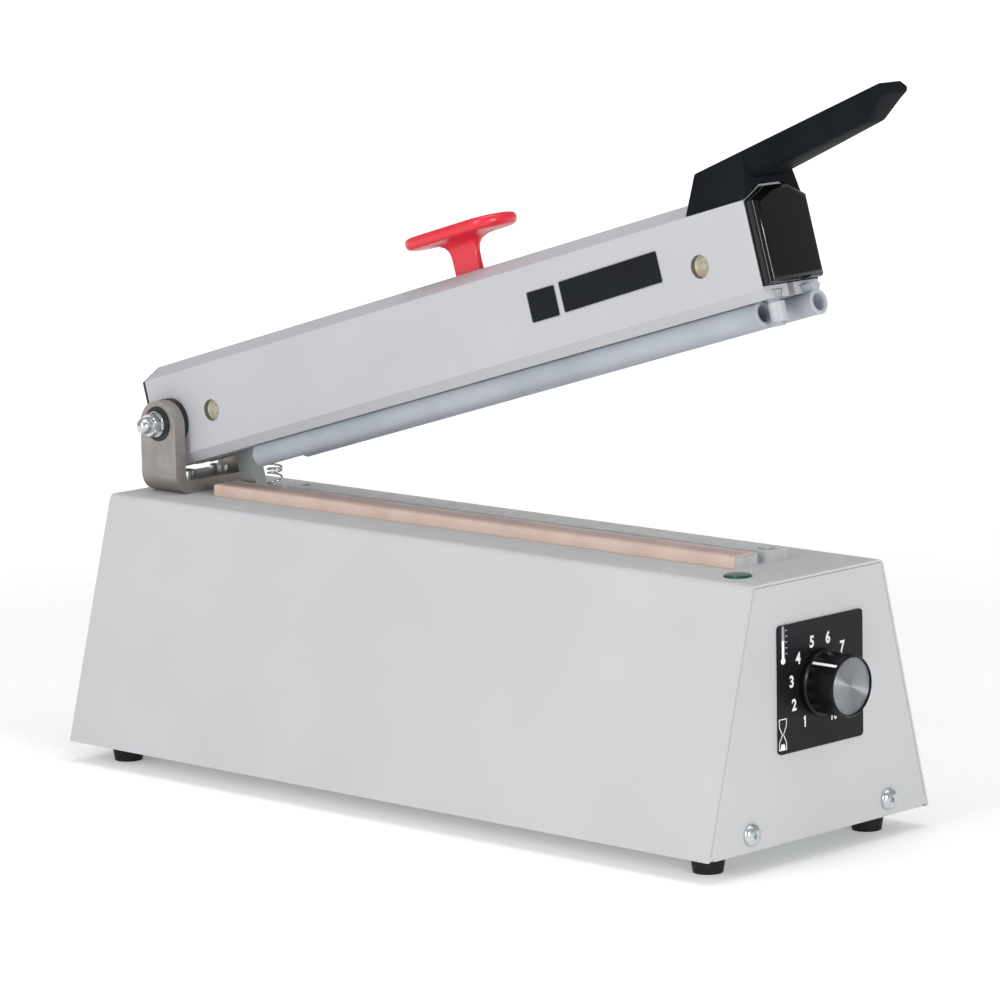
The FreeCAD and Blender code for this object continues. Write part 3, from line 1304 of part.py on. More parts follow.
def dial_plate():
    half = S.plate_size / 2
    body = prism("plate_body", "YZ_Plane", [
        (-half, dial_z - half), (half, dial_z - half), (half, dial_z + half), (-half, dial_z + half)],
        S.plate_thickness, offset=half_length)
    round_edges(body, S.plate_corner, lambda at, run: abs(run.x) > 0.9)
    hole = rod("plate_hole", "x", S.thread_radius + S.hole_clearance, half_length - 1, 4, 0, 0, dial_z)
    keep(cut("dial_plate", body, [hole]), "dial_plate")


def dial_knob():
    """Round knob with a skirt, hollow behind for the potentiometer's nut."""
    start = half_length + S.plate_thickness + S.dial_gap
    hollow = S.thread_radius + 3.4
    bore = S.shaft_radius + S.running_gap
    depth = S.dial_depth
    seat = depth - S.insert_recess - S.insert_sheet
    body = turned("dial_body", "XY_Plane", [
        (0, hollow), (0, S.dial_skirt_radius), (1.6, S.dial_skirt_radius), (2.2, S.dial_radius),
        (depth - 0.6, S.dial_radius), (depth, S.dial_radius - 0.5), (depth, S.insert_radius + 0.05),
        (seat, S.insert_radius + 0.05), (seat, 0), (depth - 3, 0), (depth - 3, bore),
        (5, bore), (5, hollow)], "H_Axis")
    put(body, start, 0, dial_z)
    keep(body, "dial_knob")


def dial_insert():
    start = half_length + S.plate_thickness + S.dial_gap + S.dial_depth - S.insert_recess - S.insert_sheet
    disc = rod("dial_disc", "x", S.insert_radius, start, S.insert_sheet, 0, 0, dial_z)
    keep(group("dial_insert", [disc]), "dial_insert")


def dial_shaft():
    """Turning shaft of the potentiometer, pushed into the knob."""
    start = half_length + S.plate_thickness + 0.4
    end = half_length + S.plate_thickness + S.dial_gap + S.dial_depth - 3.1
    inner = rod("shaft_rod", "x", S.shaft_radius, start - 8, end - start + 8, 0, 0, dial_z)
    keep(group("dial_shaft", [inner]), "dial_shaft")


def potentiometer():
    """Body, threaded neck and nut of the timer's potentiometer."""
    back = half_length - S.panel_sheet
    neck_end = half_length + S.plate_thickness + S.pot_nut_height + 0.8
    case = rod("pot_case", "x", S.pot_radius, back - S.pot_depth, S.pot_depth, 0, 0, dial_z)
    neck = rod("pot_neck", "x", S.thread_radius, back - 0.5, neck_end - back + 0.5, 0, 0, dial_z)
    nut = hexagon("pot_nut", "x", S.pot_nut_flats, half_length + S.plate_thickness, S.pot_nut_height, 0, 0, dial_z)
    shape = fuse("pot_shape", [case, neck, nut])
    start = back - S.pot_depth + 1
    bore = rod("pot_bore", "x", S.shaft_radius + S.running_gap, start, neck_end - start + 1, 0, 0, dial_z)
    keep(cut("potentiometer", shape, [bore]), "potentiometer")


def timer_board():
    """Circuit board behind the potentiometer, with its larger components."""
    face = half_length - S.panel_sheet - S.pot_depth
    back = face - S.board_sheet
    half = S.board_width / 2
    low = dial_z - S.board_below
    board = box("board_plate", (back, face), (-half, half), (low, dial_z + S.board_above))
    relay = box("board_relay", (back - S.relay_depth, back), (3 - half, 3 - half + S.relay_width),
                (dial_z - S.relay_height / 2, dial_z + S.relay_height / 2))
    block = box("board_block", (back - S.relay_depth / 2, back), (half - S.relay_width, half - 2),
                (low + 2, low + 2 + S.capacitor_radius * 2))
    can = rod("board_can", "x", S.capacitor_radius, back - S.relay_depth, S.relay_depth + 0.5, 0,
              half / 2, dial_z + S.board_above - S.capacitor_radius * 2)
    keep(fuse("timer_board", [board, relay, block, can]), "timer_board")


def core_x():
    return -S.core_length / 4


def core_bolt_places():
    reach = S.core_length / 2 + S.core_foot / 2
    return [(core_x() + a * reach, b * S.core_bolt_side) for a in (-1, 1) for b in (-1, 1)]


def transformer():
    """Laminated core with its winding, screwed to the base plate."""
    low = ground_to_edge + S.cover_sheet + S.base_sheet
    x0 = core_x() - S.core_length / 2
    x1 = core_x() + S.core_length / 2
    half = S.core_stack / 2
    iron = box("core_iron", (x0, x1), (-half, half), (low, low + S.core_height))
    foot = box("core_strip", (x0 - S.core_foot, x1 + S.core_foot), (-half, half), (low, low + S.core_foot_sheet))
    window = S.core_length / 6
    window_low = low + S.core_yoke
    window_high = low + S.core_height - S.core_yoke
    tools = []
    for side in (-1, 1):
        middle = core_x() + side * S.core_length / 4
        tools.append(box("core_window", (middle - window / 2, middle + window / 2), (-half - 1, half + 1),
                         (window_low, window_high)))
    for x, y in core_bolt_places():
        tools.append(rod("core_hole", "z", S.screw_radius + S.hole_clearance, low - 1, S.core_foot_sheet + 2, x, y))
    keep(cut("transformer_core", fuse("core_blank", [iron, foot]), tools), "transformer_core")
    gap = S.coil_gap
    reach = S.core_length / 4 + window / 2 - gap
    side = half + S.coil_margin
    coil = box("coil_block", (core_x() - reach, core_x() + reach), (-side, side), (window_low + gap, window_high - gap))
    limb = S.core_length / 4 - window / 2 + gap
    leg = box("coil_leg_space", (core_x() - limb, core_x() + limb), (-half - gap, half + gap),
              (low, low + S.core_height))
    keep(cut("transformer_coil", coil, [leg]), "transformer_coil")


def transformer_screws():
    seat = ground_to_edge + S.cover_sheet + S.base_sheet + S.core_foot_sheet
    length = S.core_foot_sheet + S.base_sheet + 2
    pieces = [screw("core_screw", "z", 1, seat, length, x, y) for x, y in core_bolt_places()]
    keep(group("transformer_screws", pieces), "transformer_screws")


def micro_switch():
    """Lever switch under the strut's path, on a folded bracket from the stiffener."""
    pressed = hinge_z - S.strut_reach
    middle = hinge_x + S.strut_start + S.strut_length - S.strut_foot / 2
    reach = S.switch_length / 2
    lever_top = pressed - S.closing_gap
    lever_low = lever_top - S.switch_lever
    case_top = lever_low - S.switch_stroke
    low = case_top - S.switch_height
    near = S.strut_side - S.switch_width / 2
    face = near + S.switch_width
    case = box("switch_case", (middle - reach, middle + reach), (near, face), (low, case_top))
    post = box("switch_post", (middle + reach * 0.4, middle + reach * 0.7),
               (near + 1.7, face - 1.7), (case_top, lever_low))
    lever = box("switch_arm", (middle - reach * 0.8, middle + reach * 0.9), (near + 1.2, face - 1.2),
                (lever_low, lever_top))
    keep(fuse("micro_switch", [case, post, lever]), "micro_switch")
    high = top - S.cover_sheet - S.stiffener_sheet
    plate = box("switch_plate", (middle - reach, middle + reach), (face, face + S.switch_sheet), (low, high))
    ledge = box("switch_ledge", (middle - reach, middle + reach), (face, face + S.switch_ledge),
                (high - S.switch_sheet, high))
    keep(fuse("switch_bracket", [plate, ledge]), "switch_bracket")


def terminal_block():
    low = ground_to_edge + S.cover_sheet + S.base_sheet
    middle = half_length - S.terminal_place
    half = S.terminal_length / 2
    near = S.terminal_side - S.terminal_width / 2
    far = near + S.terminal_width
    base = box("terminal_base", (middle - half, middle + half), (near, far), (low, low + S.terminal_height * 0.6))
    crown = box("terminal_crown", (middle - half + 2, middle + half - 2), (near + 3, far - 3),
                (low, low + S.terminal_height))
    keep(fuse("terminal_block", [base, crown]), "terminal_block")


def cable_bush():
    """Flanged bush in the far side, where the supply lead enters."""
    radius = S.gland_bore + S.gland_sleeve
    body = turned("bush_turned", "XY_Plane", [
        (S.gland_bore, -6), (radius, -6), (radius, 0), (radius + 1.6, 0), (radius + 1.6, 2),
        (radius - 0.4, 3), (radius - 1.2, S.gland_nose), (S.gland_bore, S.gland_nose)], "V_Axis")
    keep(on_side(body), "cable_bush")


# Build

housing_cover()
end_panel("front_end_panel", 1)
end_panel("rear_end_panel", -1)
base_plate()
rubber_feet()
foot_screws()
panel_screws()
top_stiffener()
top_rivets()
pilot_lamp()
hinge_bracket()
bracket_bolts()
hinge_bush("hinge_bush_near", -1)
hinge_bush("hinge_bush_far", 1)
hinge_bolt()
hinge_washers()
hinge_cap_nut()
seal_bar()
bar_screws()
seal_layers()
wire_clamps()
clamp_rail()
rail_screws()
arm_profile()
hinge_sleeve()
side_spacers()
arm_rear_cap()
arm_front_cap()
silicone_tube("silicone_tube_near", -1, S.near_tube_start, near_tube_end)
silicone_tube("silicone_tube_far", 1, S.far_tube_start, far_tube_end)
closing_stop()
handle()
handle_screws()
switch_strut()
return_spring()
cutter_carriage()
cutter_plunger()
cutter()
cutter_knob()
press_springs()
dial_plate()
dial_knob()
dial_insert()
dial_shaft()
potentiometer()
timer_board()
transformer()
transformer_screws()
micro_switch()
terminal_block()
cable_bush()
doc.recompute()


# Check and write

def check(items):
    for item in items:
        if "Invalid" in item.State or "Error" in item.State:
            raise RuntimeError("failed: %s %s" % (item.Name, item.State))
    for item in PARTS:
        if item.Shape.isNull() or not item.Shape.isValid():
            raise RuntimeError("bad shape: " + item.Label)


check(doc.Objects)
os.makedirs("parts", exist_ok=True)
for part in PARTS:
    part.Shape.exportStep("parts/%s.step" % part.Label)
    box_now = part.Shape.BoundBox
    print("%-22s solids %d volume %9.1f  x %7.1f..%7.1f  y %6.1f..%6.1f  z %6.1f..%6.1f" % (
        part.Label, len(part.Shape.Solids), part.Shape.Volume, box_now.XMin, box_now.XMax,
        box_now.YMin, box_now.YMax, box_now.ZMin, box_now.ZMax))
print("sub-parts", len(PARTS))
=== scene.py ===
# %% [markdown]
# Impulse sealer, dressed for a studio picture
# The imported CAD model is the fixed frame. Each step below adds one finish or one modelled detail to it: paint,
# plated steel, silicone, printed plates, screw recesses, springs. Nothing that the CAD gives is moved. A piece
# that is finer than its CAD solid stands in the same place and hides it.

# %% Load the frame
import json
import math
import bmesh
import bpy
from mathutils import Matrix, Vector


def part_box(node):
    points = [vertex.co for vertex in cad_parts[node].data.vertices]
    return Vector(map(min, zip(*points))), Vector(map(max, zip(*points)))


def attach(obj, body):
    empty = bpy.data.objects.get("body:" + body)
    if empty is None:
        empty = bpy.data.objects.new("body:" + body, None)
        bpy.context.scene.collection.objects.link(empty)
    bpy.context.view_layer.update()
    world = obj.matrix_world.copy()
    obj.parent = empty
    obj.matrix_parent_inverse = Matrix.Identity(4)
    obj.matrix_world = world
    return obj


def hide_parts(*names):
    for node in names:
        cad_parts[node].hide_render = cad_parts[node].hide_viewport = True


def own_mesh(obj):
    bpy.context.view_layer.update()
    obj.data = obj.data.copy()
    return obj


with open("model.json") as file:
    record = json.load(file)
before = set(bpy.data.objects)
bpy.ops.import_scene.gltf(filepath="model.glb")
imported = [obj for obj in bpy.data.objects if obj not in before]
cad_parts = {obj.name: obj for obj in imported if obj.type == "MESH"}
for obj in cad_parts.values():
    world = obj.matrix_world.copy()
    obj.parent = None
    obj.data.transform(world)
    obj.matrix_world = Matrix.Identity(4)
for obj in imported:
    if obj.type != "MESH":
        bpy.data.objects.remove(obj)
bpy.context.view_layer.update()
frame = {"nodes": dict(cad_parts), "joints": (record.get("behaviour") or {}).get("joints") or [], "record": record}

MM = 0.001

# %% [markdown]
# The camera comes first. The photograph was taken with a long lens from the dial end, a little above the
# housing's top, so the long edges hardly converge. The camera looks at a point inside the gap of the jaws.

# %% Camera
def look_direction(azimuth, elevation):
    """Unit vector from the target to the camera. Azimuth 0 looks along +Y."""
    a, e = math.radians(azimuth), math.radians(elevation)
    return Vector((math.sin(a) * math.cos(e), -math.cos(a) * math.cos(e), math.sin(e)))


def make_camera(target, azimuth, elevation, roll, distance, lens):
    """A camera that looks at the target, with its own right and up turned by the roll."""
    camera = bpy.data.objects.new("camera", bpy.data.cameras.new("camera"))
    bpy.context.collection.objects.link(camera)
    back = look_direction(azimuth, elevation)
    right = Vector((0, 0, 1)).cross(back).normalized()
    up = back.cross(right)
    turn = Matrix.Rotation(math.radians(roll), 3, back)
    axes = Matrix((turn @ right, turn @ up, back)).transposed()
    camera.matrix_world = Matrix.Translation(target + back * distance) @ axes.to_4x4()
    camera.data.sensor_width = 36
    camera.data.lens = lens
    camera.data.clip_end = 20
    return camera


camera = make_camera(Vector((10.53, 0, 108.91)) * MM, 43.83, 9.27, -1.066, 1.9105, 191.5)
bpy.context.scene.camera = camera
print("camera at", [round(c, 3) for c in camera.location])

# %% [markdown]
# Colours are written as the hex values that a picture editor shows. Blender works in linear light, so one
# function turns them. A second small function adds a shader node with its settings and its links, which keeps
# each finish below readable as a list of what is wired to what.

# %% Colour and node helpers
def linear(hex_colour):
    """An sRGB hex value as linear red, green and blue, with an alpha of one."""
    channels = [int(hex_colour[i:i + 2], 16) / 255 for i in (0, 2, 4)]
    return [c / 12.92 if c <= 0.04045 else ((c + 0.055) / 1.055) ** 2.4 for c in channels] + [1.0]


def add_node(material, kind, settings=None, **sockets):
    """Add one node. Socket names use _ for a space, and a value that is an output is linked."""
    node = material.node_tree.nodes.new(kind)
    for name, value in (settings or {}).items():
        setattr(node, name, value)
    for name, value in sockets.items():
        socket = node.inputs[name.replace("_", " ")]
        if isinstance(value, bpy.types.NodeSocket):
            material.node_tree.links.new(value, socket)
        else:
            socket.default_value = value
    return node


def new_finish(name):
    """An empty material with its output and the object's own coordinates, in metres."""
    material = bpy.data.materials.new(name)
    material.use_nodes = True
    material.node_tree.nodes.clear()
    place = add_node(material, "ShaderNodeTexCoord").outputs["Object"]
    return material, place


def finish_with(material, shader):
    """Wire the shader to the material's output."""
    add_node(material, "ShaderNodeOutputMaterial", Surface=shader.outputs["BSDF"])
    return material


def two_tones(material, amount, dark, light, low=0.35, high=0.65):
    """Colours between two hex values, by an amount from 0 to 1."""
    ramp = add_node(material, "ShaderNodeValToRGB", Fac=amount)
    ends = ramp.color_ramp.elements
    ends[0].position, ends[0].color = low, linear(dark)
    ends[1].position, ends[1].color = high, linear(light)
    return ramp.outputs["Color"]


def per_mm(millimetres):
    """Texture scale for a pattern that repeats every so many millimetres."""
    return 1 / (millimetres * MM)


print("mid grey in linear light:", [round(c, 3) for c in linear("BDBEC1")])

# %% [markdown]
# Powder coat: the steel cover and the extruded arm are painted with a light grey polyester powder. It melts to a
# skin with a very fine orange peel, satin to the eye, so the bump is small. Cloudy
# noise, some centimetres wide, keeps the large flat sides from looking like plain fill. The real peel is about
# half a millimetre wide, too fine to show, so it is drawn twice as coarse.

# %% Powder-coated steel and aluminium
def powder_coat(name, dark, light, peel_mm, roughness):
    material, place = new_finish(name)
    cloud = add_node(material, "ShaderNodeTexNoise", Vector=place, Scale=per_mm(60), Detail=2.0)
    peel = add_node(material, "ShaderNodeTexNoise", Vector=place, Scale=per_mm(peel_mm), Detail=3.0)
    bump = add_node(material, "ShaderNodeBump", Height=peel.outputs["Fac"], Strength=0.10, Distance=0.05 * MM)
    shader = add_node(material, "ShaderNodeBsdfPrincipled",
                      Base_Color=two_tones(material, cloud.outputs["Fac"], dark, light),
                      Roughness=roughness, IOR=1.5, Specular_IOR_Level=0.3, Normal=bump.outputs["Normal"])
    return finish_with(material, shader)


COVER_PAINT = powder_coat("powder_coated_steel_cover", "BCBDBF", "C0C1C3", 1.1, 0.48)
ARM_PAINT = powder_coat("powder_coated_aluminium_arm", "B4B5B9", "B8B9BD", 1.3, 0.44)
print("paints:", COVER_PAINT.name, ARM_PAINT.name)

# %% [markdown]
# Metals: the bracket is thick steel with a satin, slightly warm blasted surface. Screws and nuts are zinc plated,
# which gives a blue cast with pale yellow patches. Bars are extruded aluminium with lines along their length.

# %% Metals
def metal(name, dark, light, roughness, grain_mm, stretch=(1, 1, 1), depth_mm=0.01, patch_mm=4.0):
    material, place = new_finish(name)
    lie = add_node(material, "ShaderNodeMapping", Vector=place, Scale=stretch)
    patch = add_node(material, "ShaderNodeTexNoise", Vector=place, Scale=per_mm(patch_mm), Detail=2.0)
    grain = add_node(material, "ShaderNodeTexNoise", Vector=lie.outputs["Vector"], Scale=per_mm(grain_mm), Detail=4.0)
    spread = add_node(material, "ShaderNodeMapRange", Value=grain.outputs["Fac"], To_Min=roughness - 0.06,
                      To_Max=roughness + 0.06)
    bump = add_node(material, "ShaderNodeBump", Height=grain.outputs["Fac"], Strength=0.3, Distance=depth_mm * MM)
    shader = add_node(material, "ShaderNodeBsdfPrincipled",
                      Base_Color=two_tones(material, patch.outputs["Fac"], dark, light),
                      Metallic=1.0, Roughness=spread.outputs["Result"], Normal=bump.outputs["Normal"])
    return finish_with(material, shader)


BLASTED_STEEL = metal("blasted_stainless_steel_bracket", "A39E9B", "ADA8A4", 0.55, 0.5, depth_mm=0.02)
ZINC = metal("zinc_plated_steel", "BCC6CC", "D6D9D6", 0.24, 0.8, patch_mm=1.6)
ZINC_SHEET = metal("zinc_plated_sheet", "A9B1B2", "B7BDBB", 0.36, 1.2, patch_mm=6.0)
BARE_ALUMINIUM = metal("extruded_bare_aluminium", "D8DADB", "E3E4E5", 0.60, 1.0, stretch=(0.03, 1, 1))
CUT_ALUMINIUM = metal("sawn_aluminium_edge", "EAEBEC", "F4F5F5", 0.55, 0.5)
SPRING_STEEL = metal("drawn_spring_steel", "8E9194", "A5A8AB", 0.28, 0.6)
HARDENED_STEEL = metal("ground_steel_cutter", "A5A7AA", "B9BBBE", 0.22, 0.4, stretch=(0.05, 1, 1))
BRASS = metal("turned_brass", "A98A4B", "BC9C5A", 0.25, 0.6)
LAMINATION = metal("varnished_core_laminations", "3B3D40", "55585C", 0.45, 0.5, stretch=(0.1, 1, 0.1))
print("metals made")

# %% [markdown]
# Plastics: the knob is moulded in red ABS with a high gloss, the end caps in black ABS, the handle in
# glass-filled nylon with a fine leather-like mould grain, and the bushes and spacers in plain nylon. Light goes
# a little way into the red plastic, the natural nylon and the silicone, so these three get a subsurface share.

# %% Moulded plastics and rubber
def moulded(name, dark, light, roughness, grain_mm, depth_mm, ior=1.53, glow=0.0, radius_mm=1.0, shine=0.5):
    material, place = new_finish(name)
    cloud = add_node(material, "ShaderNodeTexNoise", Vector=place, Scale=per_mm(25), Detail=2.0)
    grain = add_node(material, "ShaderNodeTexNoise", Vector=place, Scale=per_mm(grain_mm), Detail=3.0)
    bump = add_node(material, "ShaderNodeBump", Height=grain.outputs["Fac"], Strength=0.5, Distance=depth_mm * MM)
    shader = add_node(material, "ShaderNodeBsdfPrincipled",
                      Base_Color=two_tones(material, cloud.outputs["Fac"], dark, light),
                      Roughness=roughness, IOR=ior, Specular_IOR_Level=shine, Subsurface_Weight=glow,
                      Subsurface_Scale=radius_mm * MM, Normal=bump.outputs["Normal"])
    return finish_with(material, shader)


RED_ABS = moulded("gloss_red_abs_knob", "D32032", "DA2638", 0.30, 1.6, 0.02, glow=0.12, radius_mm=1.5)
BLACK_ABS = moulded("gloss_black_abs_cap", "050608", "08090B", 0.12, 3.0, 0.01, shine=0.32)
HANDLE_NYLON = moulded("grained_black_nylon_handle", "121518", "181B1F", 0.55, 0.9, 0.04, shine=0.04)
BLACK_NYLON = moulded("black_nylon_bush", "121315", "191B1D", 0.42, 1.0, 0.02, shine=0.4)
KNOB_BLACK = moulded("black_phenolic_dial_knob", "09090B", "0F0F11", 0.28, 1.0, 0.01, shine=0.2)
FOOT_RUBBER = moulded("black_rubber_foot", "0A0B0E", "111216", 0.62, 0.8, 0.04, shine=0.3)
NATURAL_NYLON = moulded("natural_nylon_spacer", "B9B1A0", "C6BEAC", 0.42, 1.5, 0.02, glow=0.3, radius_mm=2.0)
# A dark brown with no real part behind it: painted shade for the inside of the arm's side holes.
HOLE_SHADE_BROWN = moulded("painted_shade_hole_liner", "5E564C", "6B6358", 0.45, 1.5, 0.02)
CLEAR_NYLON = moulded("milky_nylon_sleeve", "A3A8AE", "AEB3B8", 0.34, 1.5, 0.01, glow=0.2, radius_mm=1.5)
SILICONE = moulded("pale_blue_silicone_tube", "A0A6AE", "A9AFB7", 0.50, 2.0, 0.02, ior=1.41, glow=0.25,
                   radius_mm=1.5, shine=0.35)
GREEN_LENS = moulded("smoked_green_lamp_lens", "0E3A2E", "14483A", 0.16, 2.0, 0.01)
COIL_TAPE = moulded("yellow_polyester_coil_tape", "C8AE3E", "D4BC55", 0.35, 2.0, 0.02)
BOARD_LACQUER = moulded("green_board_lacquer", "14512F", "1B6038", 0.35, 2.0, 0.01)
print("plastics made")

# %% [markdown]
# The tape over the heating wire is glass cloth coated with a non-stick fluoropolymer. Its plain weave shows
# through the coat as fine crossing ribs. Real threads lie about 0.4 mm apart, too fine to show, so they are
# drawn 1.8 mm apart. Heat has browned it slightly and unevenly, which the stain noise gives.

# %% Coated and bare glass cloth
ONE_WAVE = math.pi / 10   # a wave texture of scale 1 repeats after this length


def glass_cloth(name, dark, light, pitch_mm, roughness):
    """Plain weave: two sets of waves, multiplied, raise a bump where threads cross."""
    material, place = new_finish(name)
    weave = add_node(material, "ShaderNodeMath", {"operation": "MULTIPLY"})
    for i, direction in enumerate("XY"):
        threads = add_node(material, "ShaderNodeTexWave", {"bands_direction": direction}, Vector=place,
                           Scale=per_mm(pitch_mm) * ONE_WAVE)
        material.node_tree.links.new(threads.outputs["Fac"], weave.inputs[i])
    stain = add_node(material, "ShaderNodeTexNoise", Vector=place, Scale=per_mm(14), Detail=4.0)
    bump = add_node(material, "ShaderNodeBump", Height=weave.outputs["Value"], Strength=0.25, Distance=0.05 * MM)
    shader = add_node(material, "ShaderNodeBsdfPrincipled",
                      Base_Color=two_tones(material, stain.outputs["Fac"], dark, light, 0.3, 0.7),
                      Roughness=roughness, IOR=1.38, Specular_IOR_Level=0.35, Normal=bump.outputs["Normal"])
    return finish_with(material, shader)


COATED_CLOTH = glass_cloth("coated_glass_cloth_tape", "CBB2A4", "D7C1B4", 1.8, 0.44)
# Real heat browning over the wire, and painted shade that darkens the tape's top.
TAPE_TOP_BROWN_AND_SHADE = glass_cloth("heat_browning_and_painted_shade_cloth", "B29A96", "C2ACA8", 1.8, 0.40)
BARE_CLOTH = glass_cloth("bare_glass_cloth", "CFC8B8", "DAD4C6", 1.6, 0.6)
print("cloths made")

# %% [markdown]
# Printed plates: the dial plate is a black printed foil with white ink. The dial's insert is spun aluminium; its
# fine circular lines stretch the highlights into two bright wedges, which a radial tangent with anisotropic gloss
# gives without drawing each line.

# %% Printed plate, ink and spun aluminium
PLATE_BLACK = moulded("printed_black_foil", "121315", "17181A", 0.42, 1.2, 0.01, shine=0.16)
LABEL_BLACK = moulded("printed_blue_black_foil", "0C1014", "12161B", 0.42, 1.2, 0.01, shine=0.12)
WHITE_INK = moulded("white_screen_ink", "E9EAEB", "F1F2F3", 0.45, 1.0, 0.005)
BLUE_INK = moulded("pale_blue_screen_ink", "7C8CAA", "8797B4", 0.45, 1.0, 0.005)
GREY_INK = moulded("grey_screen_ink", "8D8E94", "989AA0", 0.45, 1.0, 0.005)


def spun_aluminium():
    material, place = new_finish("spun_aluminium_insert")
    cloud = add_node(material, "ShaderNodeTexNoise", Vector=place, Scale=per_mm(6), Detail=2.0)
    around = add_node(material, "ShaderNodeTangent", {"direction_type": "RADIAL", "axis": "X"})
    shader = add_node(material, "ShaderNodeBsdfPrincipled",
                      Base_Color=two_tones(material, cloud.outputs["Fac"], "96999E", "9EA1A5"), Metallic=1.0,
                      Roughness=0.46, Anisotropic=0.93, Anisotropic_Rotation=0.25,
                      Tangent=around.outputs["Tangent"])
    return finish_with(material, shader)


SPUN_ALUMINIUM = spun_aluminium()
print("plates and insert made")

# %% [markdown]
# Every CAD node gets its finish here. The table reads as a parts list: one finish, then the nodes made of it.

# %% Give each CAD node its finish
FINISHES = (
    (COVER_PAINT, "housing_cover front_end_panel rear_end_panel top_rivets"),
    (ARM_PAINT, "arm_profile"),
    (ZINC_SHEET, "base_plate top_stiffener switch_strut switch_bracket"),
    (ZINC, "foot_screws panel_screws bracket_bolts hinge_bolt hinge_washers hinge_cap_nut bar_screws rail_screws "
           "hinge_sleeve handle_screws cutter_plunger transformer_screws"),
    (BLASTED_STEEL, "hinge_bracket potentiometer"),
    (HARDENED_STEEL, "cutter_blade sealing_wire"),
    (SPRING_STEEL, "return_spring press_springs"),
    (BARE_ALUMINIUM, "seal_bar clamp_rail wire_clamps"),
    (COATED_CLOTH, "nonstick_tape"),
    (BARE_CLOTH, "insulation_strip"),
    (BLACK_ABS, "arm_rear_cap arm_front_cap"),
    (HANDLE_NYLON, "handle"),
    (BLACK_NYLON, "hinge_bush_near hinge_bush_far micro_switch cable_bush"),
    (NATURAL_NYLON, "side_spacer_rear side_spacer_front cutter_carriage terminal_block pilot_lamp_body"),
    (SILICONE, "silicone_tube_near silicone_tube_far closing_stop"),
    (RED_ABS, "cutter_knob"),
    (FOOT_RUBBER, "foot_rear_near foot_rear_far foot_front_near foot_front_far"),
    (PLATE_BLACK, "dial_plate"),
    (KNOB_BLACK, "dial_knob"),
    (SPUN_ALUMINIUM, "dial_insert"),
    (BRASS, "dial_shaft"),
    (GREEN_LENS, "pilot_lamp_lens"),
    (BOARD_LACQUER, "timer_board"),
    (LAMINATION, "transformer_core"),
    (COIL_TAPE, "transformer_coil"),
)
dressed = set()
for finish, names in FINISHES:
    for name in names.split():
        node = frame["nodes"][name]
        node.data.materials.clear()
        node.data.materials.append(finish)
        dressed.add(name)
print("nodes dressed:", len(dressed), "left over:", sorted(set(frame["nodes"]) - dressed))

# %% [markdown]
# Many details sit on the raised arm, so it is easier to draw them in the arm's own directions: along it, across
# it and up from the hinge axis. The hinge joint in the record says where that axis is and how far the arm stands
# open, and from these comes one matrix. Meshes are written in arm millimetres and the matrix puts them in place.

# %% The arm's own frame
hinge = next(joint for joint in frame["joints"] if joint["name"] == "arm_hinge")
OPEN_ANGLE = math.radians(hinge["range_deg"][1])
ARM_PLACE = Matrix.Translation(Vector(hinge["pos_m"])) @ Matrix.Rotation(-OPEN_ANGLE, 4, "Y")


def arm_points(node):
    """A CAD node's vertices in arm millimetres."""
    to_arm = ARM_PLACE.inverted()
    return [to_arm @ vertex.co / MM for vertex in frame["nodes"][node].data.vertices]


def arm_span(node):
    """Lowest and highest corner of a CAD node in arm millimetres."""
    points = arm_points(node)
    return [Vector(pick(point[i] for point in points) for i in range(3)) for pick in (min, max)]


def box_mm(node):
    """Lowest and highest corner of a CAD node in the row's millimetres."""
    return [Vector(corner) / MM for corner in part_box(node)]


def at(x, y, z):
    """A move to a place given in millimetres."""
    return Matrix.Translation(Vector((x, y, z)) * MM)


def body_of(node):
    """The body that a CAD node rides on."""
    bodies = frame["record"]["behaviour"]["bodies"]
    return next(body for body, names in bodies.items() if node in names)


arm_low, arm_high = arm_span("arm_profile")
profile_points = arm_points("arm_profile")
wall_heights = [point.z for point in profile_points if arm_high.y - point.y < 0.05]
WALL_FOOT, EAVE = min(wall_heights), max(wall_heights)
ROOF_HALF = max(point.y for point in profile_points if arm_high.z - point.z < 0.05)
FACING_NEAR = Matrix.Rotation(math.radians(90), 4, "X")   # turns up into the near side's direction
print("arm profile in arm mm:", [round(c, 1) for c in arm_low], [round(c, 1) for c in arm_high],
      "eave", round(EAVE, 1), "half of the flat roof", round(ROOF_HALF, 1))

# %% [markdown]
# Most of the modelled pieces are skins over a row of closed rings: a lathe-turned part is rings of growing
# radius, a moulded handle is rings of changing section, a spring is small rings that follow a helix. One loft
# function covers all of them. Faces that meet at more than an angle stay sharp, the rest are shaded smooth.

# %% Mesh helpers
def to_mesh(name, build, sharp_degrees=35):
    """Turn a finished bmesh, drawn in millimetres, into a smooth-shaded mesh in metres."""
    bmesh.ops.recalc_face_normals(build, faces=build.faces)
    bmesh.ops.scale(build, vec=(MM, MM, MM), verts=build.verts)
    mesh = bpy.data.meshes.new(name)
    build.to_mesh(mesh)
    build.free()
    mesh.shade_smooth()
    mesh.set_sharp_from_angle(angle=math.radians(sharp_degrees))
    return mesh


def loft(build, rings, closed=False):
    """Skin over rings with equal numbers of points. The ends are filled, or joined when closed."""
    rows = [[build.verts.new(point) for point in ring] for ring in rings]
    pairs = list(zip(rows, rows[1:])) + ([(rows[-1], rows[0])] if closed else [])
    for row, following in pairs:
        for i in range(len(row)):
            after = (i + 1) % len(row)
            build.faces.new((row[i], row[after], following[after], following[i]))
    if not closed:
        build.faces.new(rows[0])
        build.faces.new(rows[-1])


def round_turns(steps):
    """Angles of equal steps round a circle."""
    return [2 * math.pi * i / steps for i in range(steps)]


def lathe(build, profile, closed=False):
    """Turn (height, radius) points about the local Z axis."""
    loft(build, [[(r * math.cos(t), r * math.sin(t), z) for t in round_turns(40)] for z, r in profile], closed)


